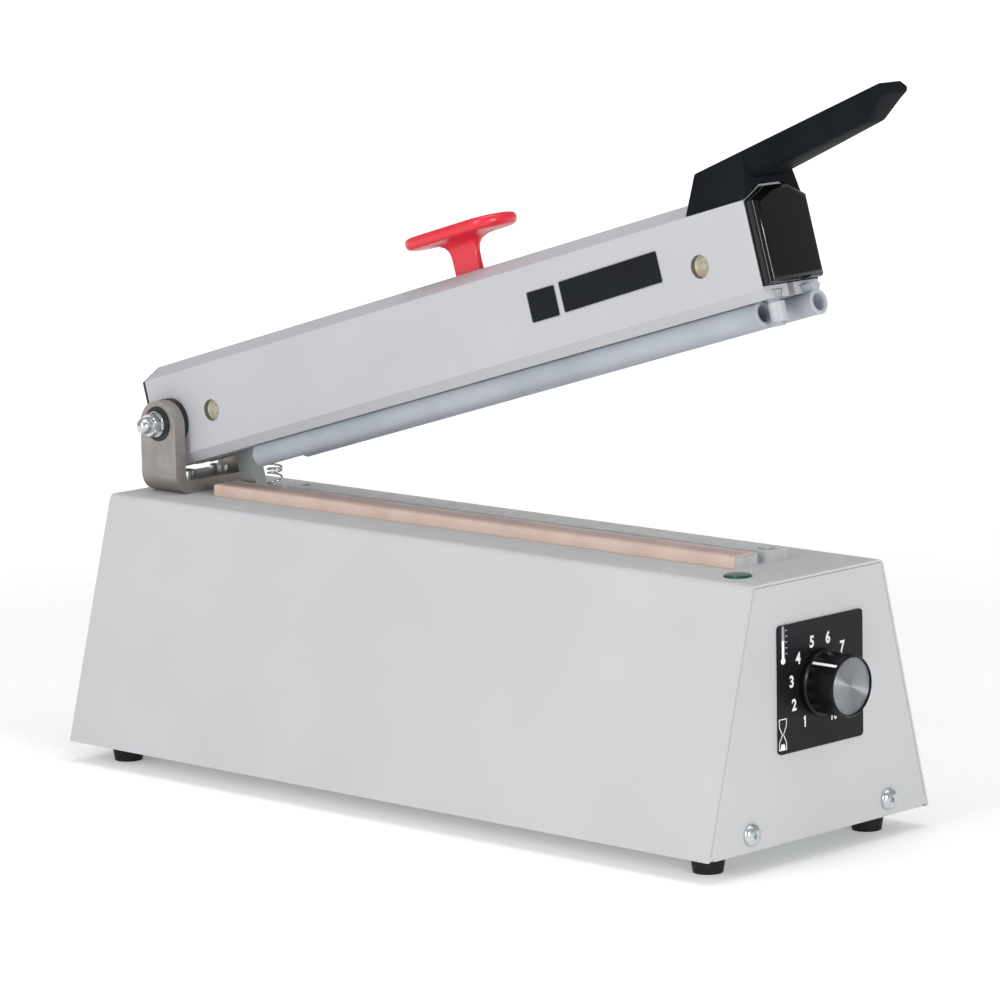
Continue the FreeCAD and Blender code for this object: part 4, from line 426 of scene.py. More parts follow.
def lathe_mesh(name, profile, closed=False, sharp_degrees=35):
    build = bmesh.new()
    lathe(build, profile, closed)
    return to_mesh(name, build, sharp_degrees)


def loft_mesh(name, rings, sharp_degrees=35):
    build = bmesh.new()
    loft(build, rings)
    return to_mesh(name, build, sharp_degrees)


def soften(build, width, segments, sharper_than):
    """Round every edge that is sharper than an angle in degrees."""
    bmesh.ops.recalc_face_normals(build, faces=build.faces)
    edges = [e for e in build.edges if len(e.link_faces) == 2
             and e.calc_face_angle() > math.radians(sharper_than)]
    bmesh.ops.bevel(build, geom=edges, offset=width, segments=segments, profile=0.5, affect="EDGES")


def add_piece(name, mesh, body, finish, place=Matrix.Identity(4)):
    """Put a mesh in the scene with its finish, riding on a CAD body."""
    piece = bpy.data.objects.new(name, mesh)
    bpy.context.collection.objects.link(piece)
    piece.matrix_world = place
    mesh.materials.append(finish)
    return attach(piece, body)


print("mesh helpers ready")

# %% [markdown]
# The handle is a moulding: a block that saddles the arm's roof and a thin blade that rises from it. Its sides lean
# in a little towards the top, which is the draft that lets it leave the mould. The blade's upper edges are crisp
# and its lower ones are round, so its side shows as a narrow strip over a dark underside. Both forms are written
# as cross sections along the arm, then the edges are broken by a fraction of a millimetre as a mould leaves them.

# %% Handle
handle_low, handle_high = arm_span("handle")
HANDLE_REAR = handle_low.x
HANDLE_TIP = handle_high.x
BLOCK_FRONT = HANDLE_REAR + 27.6
REAR_OVERHANG = 0.8                 # how far the block's foot reaches back past its CAD solid
REAR_LEAN = 5.5
TOP_REAR, TOP_TIP = 31.1, handle_high.z + 0.15
HALF_REAR, HALF_TIP = 12.4, 7.0     # half widths of the flat top
SEAM = 0.12                         # gap between block and painted roof
EDGE_BREAK = 0.35


def along_blade(along, rear, tip):
    """A size that changes evenly from the block's rear top edge to the blade's tip."""
    share = (along - HANDLE_REAR - REAR_LEAN) / (HANDLE_TIP - HANDLE_REAR - REAR_LEAN)
    return rear + (tip - rear) * share


def block_ring(along_low, along_high):
    """Section of the block: it follows the roof below and leans in towards a flat top."""
    half = arm_high.y
    top_half = along_blade(along_high, HALF_REAR, HALF_TIP)
    high = along_blade(along_high, TOP_REAR, TOP_TIP)
    roof = arm_high.z + SEAM
    return [(along_low, -half, EAVE + SEAM), (along_low, -ROOF_HALF, roof), (along_low, ROOF_HALF, roof),
            (along_low, half, EAVE + SEAM), (along_high, top_half, high), (along_high, -top_half, high)]


def blade_ring(along, depth, strip, far_cut=0.0):
    """Section of the blade: flat top, upright strip on each side, round lower corners, far top corner cut."""
    top = along_blade(along, TOP_REAR, TOP_TIP)
    half = along_blade(along, HALF_REAR, HALF_TIP)
    corner = depth - strip
    side = [(half, top - strip)]
    for step in range(1, 6):
        turn = math.radians(18 * step)
        side.append((half - corner * 0.6 * (1 - math.cos(turn)), top - strip - corner * math.sin(turn)))
    ring = [(half - far_cut, top)] + side + [(-y, z) for y, z in reversed(side)] + [(-half, top)]
    return [(along, y, z) for y, z in ring]


def handle_mesh():
    build = bmesh.new()
    loft(build, [block_ring(HANDLE_REAR - REAR_OVERHANG, HANDLE_REAR + REAR_LEAN),
                 block_ring(BLOCK_FRONT, BLOCK_FRONT)])
    sections = [(BLOCK_FRONT - 2, 9.6, 3.6), (BLOCK_FRONT + 25, 9.8, 2.8), (HANDLE_TIP - 10.5, 9.8, 2.2),
                (HANDLE_TIP - 3, 5.2, 2.2), (HANDLE_TIP, 3.9, 2.0, 3.0)]
    loft(build, [blade_ring(*section) for section in sections])
    soften(build, EDGE_BREAK, segments=2, sharper_than=24)
    return to_mesh("handle_moulding", build, 30)


handle = add_piece("handle_moulding", handle_mesh(), "arm", HANDLE_NYLON, ARM_PLACE)
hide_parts("handle")
print("handle from", round(HANDLE_REAR, 1), "to", round(HANDLE_TIP, 1), "mm, polygons", len(handle.data.polygons))

# %% [markdown]
# The cutter knob is a glossy red oval with a slightly crowned top and a dished underside that flows into a flat
# stem. Every section square to the stem is an oblong with round corners, full round on the head and tight on the
# stem, so the knob is a loft of such oblongs, from the middle of the crown over the rim and down the stem.

# %% Cutter knob
knob_low, knob_high = arm_span("cutter_knob")
KNOB_MIDDLE = (knob_low.x + knob_high.x) / 2


def oblong(half_length, half_width, corner, height, steps=8):
    """Points of an oblong with round corners, about the knob's middle."""
    corner = min(corner, half_width - 0.01)
    points = []
    for right, back, start in ((1, -1, -90), (1, 1, 0), (-1, 1, 90), (-1, -1, 180)):
        for step in range(steps + 1):
            turn = math.radians(start + 90 * step / steps)
            points.append((KNOB_MIDDLE + right * (half_length - corner) + corner * math.cos(turn),
                           back * (half_width - corner) + corner * math.sin(turn), height))
    return points


def knob_mesh():
    """Rim points are (inset, drop); the others are (half length, half width, corner, drop) under the top."""
    length, width, top = (knob_high.x - knob_low.x) / 2, knob_high.y, knob_high.z
    rim = [(10.0, 0.0), (7.0, 0.06), (4.0, 0.2), (2.2, 0.36), (1.2, 0.55), (0.5, 0.95), (0.1, 1.6), (0.0, 2.3),
           (0.05, 3.0), (0.35, 3.9), (0.9, 4.5), (1.8, 4.85), (3.0, 5.0)]
    sections = [(length - inset, width - inset, width, drop) for inset, drop in rim]
    sections += [(15.0, 6.4, 5.0, 5.2), (11.0, 4.2, 3.4, 5.8), (8.6, 2.2, 1.8, 7.0), (7.1, 1.5, 1.0, 8.8),
                 (6.5, 1.4, 0.7, 10.8), (6.3, 1.4, 0.6, 13.0), (6.3, 1.4, 0.6, top - knob_low.z)]
    return loft_mesh("cutter_knob_moulding", [oblong(a, b, corner, top - drop) for a, b, corner, drop in sections], 50)


knob = add_piece("cutter_knob_moulding", knob_mesh(), body_of("cutter_knob"), RED_ABS, ARM_PLACE)
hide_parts("cutter_knob")
print("knob", [round(c, 1) for c in knob_high - knob_low], "mm")

# %% [markdown]
# The arm's two end caps are glossy black mouldings: a flange as large as the profile and, in front, a raised face
# with round edges. Those edges turn through every direction and so always find a lamp to reflect, which draws a
# bright line down the cap. The section is the profile's gable, set in a little more at each step of the edge.

# %% End caps
def gable_ring(along, inset):
    """The profile's outline with its keel left out, drawn in by an inset."""
    half, low = arm_high.y - max(inset - 0.3, inset * 0.4), WALL_FOOT + inset
    flat, eave, roof = ROOF_HALF - inset * 0.4, EAVE - inset * 0.6, arm_high.z - inset
    outline = [(-half, low), (half, low), (half, eave), (flat, roof), (-flat, roof), (-half, eave)]
    return [(along, y, z) for y, z in outline]


def add_cap(name, start, steps):
    """A cap over steps of (distance outwards from the profile's end, inset)."""
    mesh = loft_mesh(name, [gable_ring(start + out, inset) for out, inset in steps], 32)
    return add_piece(name, mesh, "arm", BLACK_ABS, ARM_PLACE)


def round_edge(out, inset, radius, turn=1, steps=6):
    """Steps of a quarter-round edge that ends at a distance outwards."""
    angles = [math.radians(90 * i / steps) for i in range(steps + 1)]
    return [(out - turn * radius * (1 - math.sin(a)), inset + radius * (1 - math.cos(a))) for a in angles]


front_cap_out = arm_span("arm_front_cap")[1].x - arm_high.x
rear_cap_out = arm_low.x - arm_span("arm_rear_cap")[0].x
FACE_OUT = 4.6      # how far the front cap's raised face stands out of its flange
FACE_SET_IN = 0.3
EDGE_RADIUS = 2.9
CUT_EDGE = 0.7      # the strip of bare metal that the cap leaves free round the profile's end
flange, face_inset = front_cap_out - FACE_OUT, CUT_EDGE + FACE_SET_IN
steps = [(0, CUT_EDGE), (flange, CUT_EDGE), (flange, face_inset)] + round_edge(front_cap_out, face_inset, EDGE_RADIUS)
cap = add_cap("arm_front_cap_moulding", arm_high.x, steps)
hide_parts("arm_front_cap")
steps = [(0, 0.1), (0, 0)] + round_edge(-rear_cap_out, 0, min(1.2, rear_cap_out * 0.8), -1)
cap = add_cap("arm_rear_cap_moulding", arm_low.x, steps)
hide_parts("arm_rear_cap")
print("caps", round(front_cap_out, 1), "and", round(rear_cap_out, 1), "mm thick")

# %% [markdown]
# The two silicone tubes are what presses the film on the bars. Open, they are round; closed, they are squeezed to
# about two thirds of their height, and the CAD solid is drawn in that state. Here the round tube is a lofted wall
# with softly rounded ends and a dovetail foot.
# The stop beside them, which sets how far the arm closes, wears a milky nylon sleeve.

# %% Silicone tubes
KEEL_FLOOR = arm_low.z
TUBE_RADIUS = 4.3
BORE_RADIUS = 2.95
NEAR_START, FAR_END = 3.0, 1.8   # the near tube starts later and the far one ends later than its solid
SLEEVE_SHIFT = 0.8          # the sleeve sits a little further to the front than its stop


def tube_mesh(name, start, end, across):
    """A tube with rounded ends, a slightly flared front and a dovetail foot along its top."""
    build = bmesh.new()
    middle = KEEL_FLOOR - TUBE_RADIUS + 0.3
    soft = 0.45

    def ring(along, radius):
        return [(along, across + radius * math.cos(t), middle + radius * math.sin(t)) for t in round_turns(40)]

    wall = [(start, TUBE_RADIUS - soft), (start + soft, TUBE_RADIUS), (end - 2, TUBE_RADIUS),
            (end - soft, TUBE_RADIUS + 0.2), (end, TUBE_RADIUS - soft + 0.2), (end, BORE_RADIUS + 0.35),
            (end - 0.3, BORE_RADIUS + 0.1), (end - 2, BORE_RADIUS), (start + 0.2, BORE_RADIUS),
            (start, BORE_RADIUS + 0.2)]
    loft(build, [ring(along, radius) for along, radius in wall], closed=True)
    foot = [(-1.3, -0.7), (1.3, -0.7), (1.4, 0), (2.6, 2.75), (-2.6, 2.75), (-1.4, 0)]
    loft(build, [[(along, across + y, KEEL_FLOOR + z) for y, z in foot] for along in (start + 0.1, end - 0.1)])
    return to_mesh(name, build, 40)


for side in ("near", "far"):
    low, high = arm_span("silicone_tube_" + side)
    name = "silicone_tube_round_" + side
    start, end = (low.x + NEAR_START, high.x) if side == "near" else (low.x, high.x + FAR_END)
    mesh = tube_mesh(name, start, end, (low.y + high.y) / 2)
    tube = add_piece(name, mesh, "arm", SILICONE, ARM_PLACE)
    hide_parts("silicone_tube_" + side)
    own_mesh(tube)
    print(name, "from", round(start, 1), "to", round(end, 1), "mm")

low, high = arm_span("closing_stop")
mesh = lathe_mesh("closing_stop_sleeve", [(-8.2, 2.1), (-8.2, 2.7), (-7.9, 2.95), (-1.5, 2.95), (-1.2, 2.7),
                                          (-1.2, 2.1)], closed=True)
place = ARM_PLACE @ at((low.x + high.x) / 2 + SLEEVE_SHIFT, (low.y + high.y) / 2, KEEL_FLOOR)
add_piece("closing_stop_sleeve", mesh, "arm", CLEAR_NYLON, place)

# %% [markdown]
# Springs are round wire wound on a mandrel, with closed end turns. A helix of small rings gives the wire, and the
# pitch shrinks at both ends as it does on a real compression spring.

# %% Springs
def spring_mesh(name, centre, radius, wire, height, turns):
    """Helix of round wire that stands on its centre point, with a closed turn at each end."""
    steps_per_turn = 20
    count = int(turns * steps_per_turn)
    rings = []
    for step in range(count + 1):
        turn = 2 * math.pi * step / steps_per_turn
        share = step / count
        rise = share - 0.055 * math.sin(4 * math.pi * share)
        out = Vector((math.cos(turn), math.sin(turn), 0))
        middle = Vector(centre) + out * radius + Vector((0, 0, wire / 2 + (height - wire) * rise))
        rings.append([middle + (out * math.cos(a) + Vector((0, 0, 1)) * math.sin(a)) * wire / 2
                      for a in round_turns(8)])
    return loft_mesh(name, rings, 80)


RETURN_WIRE, PRESS_WIRE = 0.8, 0.7
PRESS_RADIUS = 3.2
low, high = box_mm("return_spring")
centre = ((low.x + high.x) / 2, (low.y + high.y) / 2, low.z)
mesh = spring_mesh("return_spring_wire", centre, (high.x - low.x - RETURN_WIRE) / 2, RETURN_WIRE, high.z - low.z, 7)
spring = add_piece("return_spring_wire", mesh, body_of("return_spring"), ZINC)
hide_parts("return_spring")
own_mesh(spring)

low, high = arm_span("press_springs")
press_reach = PRESS_RADIUS + PRESS_WIRE / 2
for label, along in (("rear", low.x + press_reach), ("front", high.x - press_reach)):
    mesh = spring_mesh("press_spring_" + label, (along, 0, low.z), PRESS_RADIUS, PRESS_WIRE, high.z - low.z, 8)
    spring = add_piece("press_spring_" + label, mesh, body_of("press_springs"), SPRING_STEEL, ARM_PLACE)
    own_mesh(spring)
    if label == "front":
        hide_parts("press_springs")

# %% [markdown]
# Screws: pan heads with a cross recess hold the end panels, countersunk ones the clamp rail. A head is a lathe
# form, and the recess is cut into it with a boolean by a tapered cross, which is how the punch makes it. One head
# is made for each kind and its mesh is copied to every place that the CAD gives.

# %% Cross-recessed screws
def cross_tool(size, depth, top):
    """A tapered cross, as the punch that forms the recess."""
    build = bmesh.new()
    for turn in (0, 90):
        blade = bmesh.ops.create_cube(build, size=1)["verts"]
        bmesh.ops.scale(build, vec=(size, size * 0.24, depth * 2), verts=blade)
        bmesh.ops.translate(build, vec=(0, 0, top), verts=blade)
        for vertex in blade:
            if vertex.co.z < top:
                vertex.co.x *= 0.45
        bmesh.ops.rotate(build, cent=(0, 0, 0), matrix=Matrix.Rotation(math.radians(turn), 3, "Z"), verts=blade)
    return to_mesh("cross_punch", build)


def screw_mesh(name, profile, recess, depth):
    """A turned screw with a cross recess in its top."""
    head = bpy.data.objects.new(name, lathe_mesh(name, profile, sharp_degrees=30))
    punch = bpy.data.objects.new("cross_punch", cross_tool(recess, depth, profile[-1][0]))
    for thing in (head, punch):
        bpy.context.collection.objects.link(thing)
    cutter = head.modifiers.new("recess", "BOOLEAN")
    cutter.operation = "DIFFERENCE"
    cutter.object = punch
    cutter.use_self = True
    cut_head = head.evaluated_get(bpy.context.evaluated_depsgraph_get())
    mesh = bpy.data.meshes.new_from_object(cut_head)
    bpy.data.objects.remove(head)
    bpy.data.objects.remove(punch)
    mesh.name = name
    return mesh


PAN = [(-12, 1.9), (0, 2.0), (0, 3.75), (0.35, 3.9), (0.9, 3.8), (1.5, 3.4), (2.0, 2.6), (2.25, 1.6), (2.3, 0.9)]
COUNTERSUNK = [(-10.6, 1.6), (-2.3, 1.7), (-0.35, 3.35), (-0.1, 3.45), (0, 3.3)]
pan_screw = screw_mesh("pan_screw", PAN, 3.9, 1.5)
flat_screw = screw_mesh("countersunk_screw", COUNTERSUNK, 3.4, 1.4)

low, high = box_mm("panel_screws")
radius, head_height = (high.z - low.z) / 2, PAN[-1][0]
for end, face, toward in (("front", high.x - head_height, 1), ("rear", low.x + head_height, -1)):
    for side, across in (("near", low.y + radius), ("far", high.y - radius)):
        # Every recess stops at an angle of its own, here taken from the screw's place.
        turn = Matrix.Rotation(math.radians(90 * toward), 4, "Y") @ Matrix.Rotation(0.3 + across, 4, "Z")
        place = at(face, across, (low.z + high.z) / 2) @ turn
        add_piece("panel_screw_%s_%s" % (end, side), pan_screw.copy(), "base", ZINC, place)
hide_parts("panel_screws")
low, high = box_mm("rail_screws")
radius = (high.y - low.y) / 2
for label, along in (("rear", low.x + radius), ("front", high.x - radius)):
    place = at(along, (low.y + high.y) / 2, high.z + 0.02)
    add_piece("rail_screw_" + label, flat_screw.copy(), "base", ZINC, place)
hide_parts("rail_screws")

# %% [markdown]
# The cap nut on the hinge bolt is a zinc-plated hexagon with a domed end. The hexagon's corners are chamfered on
# a lathe after the bar is cut, so its flats end in arcs; cutting a hexagonal prism with a cone gives that.

# %% Cap nut
HEXAGON_HEIGHT = 3.6
DOME_RADIUS = 3.1


def cap_nut_mesh(corner, total):
    """Hexagon and dome about the axis across the arm, from the washer outwards."""
    steps = round_turns(48)

    def hexagon(radius_limit, height):
        points = []
        for t in steps:
            to_flat = corner * math.cos(math.radians(30)) / math.cos((t + math.pi / 6) % (math.pi / 3) - math.pi / 6)
            reach = min(to_flat, radius_limit)
            points.append((reach * math.cos(t), reach * math.sin(t), height))
        return points

    rings = [hexagon(corner * 0.93, 0), hexagon(corner, 0.35), hexagon(corner, HEXAGON_HEIGHT - 0.5),
             hexagon(corner * 0.86, HEXAGON_HEIGHT)]
    dome = [(DOME_RADIUS - 0.05, HEXAGON_HEIGHT), (DOME_RADIUS, HEXAGON_HEIGHT + 0.3)]
    dome += [(DOME_RADIUS * math.cos(math.radians(a)), total - DOME_RADIUS + DOME_RADIUS * math.sin(math.radians(a)))
             for a in (0, 15, 30, 45, 60, 72, 82, 88)]
    rings += [[(r * math.cos(t), r * math.sin(t), z) for t in steps] for r, z in dome]
    return loft_mesh("hinge_cap_nut_turned", rings, 28)


low, high = box_mm("hinge_cap_nut")
place = at((low.x + high.x) / 2, high.y, (low.z + high.z) / 2) @ FACING_NEAR
cap_nut = add_piece("hinge_cap_nut_turned", cap_nut_mesh((high.x - low.x) / 2, high.y - low.y), body_of("hinge_cap_nut"),
                    ZINC, place)
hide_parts("hinge_cap_nut")
print("cap nut", round(high.y - low.y, 1), "mm long")

# %% [markdown]
# Nylon spacers keep the arm's hollow walls apart and show as beige discs in two round holes. Each is turned with
# a shallow dish and a small boss, so the hole does not look like a flat plug. A dark brown ring in each hole's wall
# is painted shade for the inside of the hole.

# %% Side spacers
for label in ("rear", "front"):
    low, high = arm_span("side_spacer_" + label)
    radius, half = (high.x - low.x) / 2, high.y
    profile = [(-half + 0.5, 0.4), (-half + 0.5, 1.3), (-half + 1.0, 1.9), (-half + 1.0, 3.3), (-half + 0.1, 3.9),
               (-half, radius)]
    profile += [(-z, r) for z, r in reversed(profile)]
    build = bmesh.new()
    lathe(build, profile)
    place = ARM_PLACE @ Matrix.Translation(Vector(((low.x + high.x) / 2, 0, (low.z + high.z) / 2)) * MM)
    mesh = to_mesh("side_spacer_turned_" + label, build)
    spacer = add_piece(mesh.name, mesh, "arm", NATURAL_NYLON, place @ Matrix.Rotation(math.radians(90), 4, "X"))
    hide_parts("side_spacer_" + label)
    # A dark brown ring lines the wall of each hole: painted shade, standing for the shadow inside the hole round the
    # spacer.
    build = bmesh.new()
    for end in (-1, 1):
        lathe(build, [(end * z, r) for z, r in ((-arm_low.y - 0.1, 4.2), (-arm_low.y - 0.1, 3.95),
                                                (-arm_low.y - 1.9, 3.95), (-arm_low.y - 1.9, 4.2))], closed=True)
    mesh = to_mesh("side_hole_shade_ring_" + label, build)
    add_piece(mesh.name, mesh, "arm", HOLE_SHADE_BROWN, place @ Matrix.Rotation(math.radians(90), 4, "X"))
print("spacers made")

# %% [markdown]
# The profile is sawn to length after painting, so its cut edge stays bare and catches the light along the gable
# at the front, round the slightly smaller black cap. It is drawn as a strip less than a millimetre wide that
# climbs the near wall, follows the roof and comes down on the far wall.

# %% Bare cut edge of the profile
def cut_edge_mesh(along):
    order = (0, 5, 4, 3, 2, 1)
    outer, inner = gable_ring(along, -0.03), gable_ring(along, CUT_EDGE)
    stations = []
    for i in order:
        stations.append([(along + out, *point[1:]) for point in (outer[i], inner[i]) for out in (0.0, 0.15)])
    build = bmesh.new()
    loft(build, [[a, b, d, c] for a, b, c, d in stations])
    return to_mesh("profile_cut_edge", build)


add_piece("profile_cut_edge", cut_edge_mesh(arm_high.x), "arm", CUT_ALUMINIUM, ARM_PLACE)
print("cut edge added at", round(arm_high.x, 1), "mm")

# %% [markdown]
# Two black foil labels stand on the arm's near wall. They stay bare. Each is a thin plate with round corners and
# a hairline of grey ink along its edge, which is how such a label is printed and punched.

# %% Bare label plates
def round_plate(build, corner_a, corner_b, radius, low, high):
    """A flat plate with rounded corners, between two heights above its face."""
    (x0, y0), (x1, y1) = corner_a, corner_b
    points = []
    for cx, cy, start in ((x1 - radius, y0 + radius, -90), (x1 - radius, y1 - radius, 0),
                          (x0 + radius, y1 - radius, 90), (x0 + radius, y0 + radius, 180)):
        for step in range(5):
            turn = math.radians(start + 22.5 * step)
            points.append((cx + radius * math.cos(turn), cy + radius * math.sin(turn)))
    loft(build, [[(x, y, z) for x, y in points] for z in (low, high)])


NEAR_WALL = ARM_PLACE @ Matrix.Translation((0, arm_low.y * MM, 0)) @ Matrix.Rotation(math.radians(90), 4, "X")
for name, middle, size, tilt in (("label_small", (201.6, 2.95), (14.2, 11.4), 0),
                                 ("label_large", (235.0, 3.7), (48.6, 11.5), 0.85)):
    place = NEAR_WALL @ Matrix.Translation(Vector((*middle, 0)) * MM) @ Matrix.Rotation(math.radians(tilt), 4, "Z")
    for suffix, inset, thick, finish in (("_edge", 0.0, 0.12, GREY_INK), ("", 0.3, 0.16, LABEL_BLACK)):
        half_x, half_y = size[0] / 2 - inset, size[1] / 2 - inset
        build = bmesh.new()
        round_plate(build, (-half_x, -half_y), (half_x, half_y), 0.9 - inset, 0.0, thick)
        add_piece(name + suffix, to_mesh(name + suffix, build), "arm", finish, place)
print("label plates added")

# %% [markdown]
# The dial plate is screen printed: ten numbers round the knob, a thermometer and an hourglass as plain signs for
# heat and time. Ink stands a few hundredths of a millimetre proud. The numbers are Blender text turned into a
# mesh, made heavier by an outline offset and narrower by scaling, as condensed dial numerals are.

# %% Dial printing
plate_low, plate_high = box_mm("dial_plate")
knob_box_low, knob_box_high = box_mm("dial_knob")
DIAL_MIDDLE = Vector((plate_high.x, (plate_low.y + plate_high.y) / 2, (knob_box_low.z + knob_box_high.z) / 2))
FACING_DIAL = Matrix(((0, 0, 1, 0), (1, 0, 0, 0), (0, 1, 0, 0), (0, 0, 0, 1)))
DIAL_PLACE = Matrix.Translation(DIAL_MIDDLE * MM) @ FACING_DIAL
INK = 0.04


def flat_shape(build, points, high=INK):
    loft(build, [[(x, y, z) for x, y in points] for z in (0.0, high)])


def disc(x, y, radius, steps=20):
    return [(x + radius * math.cos(2 * math.pi * i / steps), y + radius * math.sin(2 * math.pi * i / steps))
            for i in range(steps)]


def bar(x0, y0, x1, y1, width):
    """A straight printed line between two points."""
    along = Vector((x1 - x0, y1 - y0)).normalized() * width / 2
    across = Vector((-along.y, along.x))
    a, b = Vector((x0, y0)), Vector((x1, y1))
    return [tuple(p) for p in (a + across, a - across, b - across, b + across)]


def number_mesh(word, height):
    curve = bpy.data.curves.new("number", "FONT")
    curve.body = word
    curve.align_x = "CENTER"
    curve.align_y = "CENTER"
    curve.size = height / 0.7 * MM
    curve.offset = height * 0.045 * MM
    curve.extrude = INK * MM
    holder = bpy.data.objects.new("number", curve)
    mesh = bpy.data.meshes.new_from_object(holder)
    bpy.data.objects.remove(holder)
    return mesh


def number_one(height):
    """A one with a flag, which the plain font lacks."""
    build = bmesh.new()
    flat_shape(build, bar(0.15, -height / 2, 0.15, height / 2, 0.75))
    flat_shape(build, bar(-0.75, height / 2 - 1.0, 0.2, height / 2 - 0.3, 0.6), INK * 0.9)
    return to_mesh("number", build)


NUMBER_ANGLES = (236, 204, 172, 140, 107.5, 76, 43.5, 10, -25, -63)
for number, angle in enumerate(NUMBER_ANGLES, start=1):
    turn = math.radians(angle)
    reach = 15.5 if number < 10 else 14.3
    spot = Matrix.Translation(Vector((math.cos(turn) * reach, math.sin(turn) * reach * 0.97, 0)) * MM)
    narrow = Matrix.Diagonal((0.86 if number < 10 else 0.66, 1, 1, 1))
    mesh = number_one(3.9) if number == 1 else number_mesh(str(number), 3.9)
    add_piece("dial_number_%d" % number, mesh, "base", WHITE_INK, DIAL_PLACE @ spot @ narrow)
print("numbers printed:", len(NUMBER_ANGLES))

# %% Thermometer, hourglass and pointer
def thermometer(middle_x, middle_y):
    bulb_y = middle_y - 5.6
    build = bmesh.new()
    flat_shape(build, disc(middle_x, bulb_y, 1.15))
    flat_shape(build, bar(middle_x, bulb_y, middle_x, middle_y + 1.4, 1.3), INK * 0.9)
    add_piece("thermometer_fill", to_mesh("thermometer_fill", build), "base", WHITE_INK, DIAL_PLACE)
    build = bmesh.new()
    flat_shape(build, bar(middle_x, middle_y + 1.3, middle_x, middle_y + 5.8, 1.3), INK * 0.8)
    flat_shape(build, disc(middle_x, middle_y + 5.8, 0.65))
    add_piece("thermometer_tube", to_mesh("thermometer_tube", build), "base", GREY_INK, DIAL_PLACE)
    build = bmesh.new()
    for step in range(5):
        level = middle_y - 3.2 + step * 2.0
        flat_shape(build, bar(middle_x + 1.1, level, middle_x + 2.2, level, 0.45))
    add_piece("thermometer_scale", to_mesh("thermometer_scale", build), "base", BLUE_INK, DIAL_PLACE)


def hourglass(middle_x, middle_y):
    half_w, half_h = 1.9, 5.3
    right = [(half_w, half_h), (half_w * 0.92, half_h * 0.5), (0.4, 0.2), (0.4, -0.3), (half_w * 0.92, -half_h * 0.5),
             (half_w, -half_h)]
    corners = right + [(-x, y) for x, y in reversed(right)]
    build = bmesh.new()
    for a, b in zip(corners, corners[1:] + corners[:1]):
        flat_shape(build, bar(middle_x + a[0], middle_y + a[1], middle_x + b[0], middle_y + b[1], 0.32))
    sand = [(-1.4, -half_h + 0.1), (1.4, -half_h + 0.1), (0.8, -half_h + 2.0), (-0.8, -half_h + 2.0)]
    flat_shape(build, [(middle_x + x, middle_y + y) for x, y in sand], INK * 0.8)
    add_piece("hourglass_sign", to_mesh("hourglass_sign", build), "base", WHITE_INK, DIAL_PLACE)


thermometer(-19.7, 15.6)
hourglass(-20.2, -15.3)

KNOB_DEPTH = knob_box_high.x - plate_high.x
POINTER_ANGLE = math.radians(133)
build = bmesh.new()
loft(build, [[(10.86, -0.5, height), (10.86, 0.5, height), (10.26, 0.5, height), (10.26, -0.5, height)]
             for height in (2.2, KNOB_DEPTH - 0.7)])
pointer_turn = Matrix.Rotation(POINTER_ANGLE, 4, "Z")
add_piece("dial_pointer", to_mesh("dial_pointer", build), "dial", WHITE_INK, DIAL_PLACE @ pointer_turn)
print("signs and pointer printed")

# %% [markdown]
# The glass-cloth tape is folded over the whole bar, from the foot of its near side over the top. It is a thin
# skin with a soft bend, wrapped round the bar's rear end as well. Over the flat heating wire the heat leaves a
# browned, faintly raised line, which is a ribbon with the same cloth pattern in a darker tone. The ribbon is drawn
# wide enough to cover most of the top, so besides the browning it paints shade on the tape's top.

# %% Tape, and the browned ribbon that also paints shade on the tape's top
bar_low, bar_high = box_mm("seal_bar")
wire_low, wire_high = box_mm("sealing_wire")
tape_low, tape_high = box_mm("nonstick_tape")
near, far, low, high = tape_low.y, tape_high.y, tape_low.z, tape_high.z + 0.05
outside = [(near, low), (near, high - 0.8), (near + 0.2, high - 0.3), (near + 0.8, high), (far, high)]
inside = [(far, high - 0.12), (near + 0.9, high - 0.12), (near + 0.3, high - 0.45), (near + 0.12, high - 0.9),
          (near + 0.12, low)]
build = bmesh.new()
loft(build, [[(x, y, z) for y, z in outside + inside] for x in (bar_low.x - 0.15, bar_high.x - 0.1)])
end_fold = [(near, low), (near, high - 0.8), (near + 0.2, high - 0.3), (near + 0.8, high), (far, high), (far, low)]
loft(build, [[(x, y, z) for y, z in end_fold] for x in (bar_low.x - 0.25, bar_low.x - 0.05)])
tape = add_piece("tape_wrap", to_mesh("tape_wrap", build), "base", COATED_CLOTH)
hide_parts("nonstick_tape")

build = bmesh.new()
middle = (wire_low.y + wire_high.y) / 2
# The ribbon reaches 2.4 mm past the wire on each side: real browning over the wire, painted shade over the rest of the
# top.
half = (wire_high.y - wire_low.y) / 2 + 2.4
section = [(-half, 0.0), (-1.6, 0.03), (-1.1, 0.09), (1.1, 0.09), (1.6, 0.03), (half, 0.0), (half, -0.1),
           (-half, -0.1)]
loft(build, [[(x, middle + y, high + z) for y, z in section] for x in (bar_low.x + 1, bar_high.x - 2)])
add_piece("top_browning_and_painted_shade", to_mesh("top_browning_and_painted_shade", build), "base", TAPE_TOP_BROWN_AND_SHADE)
print("tape over", round(bar_high.x - bar_low.x, 0), "mm of bar")

# %% [markdown]
# Where cover and end panel meet at the lower corners, the sheet is nicked for bending, and a small weld bead
# fills the nick before painting. Four flat beads, half sunk in the sheet, stand for them.

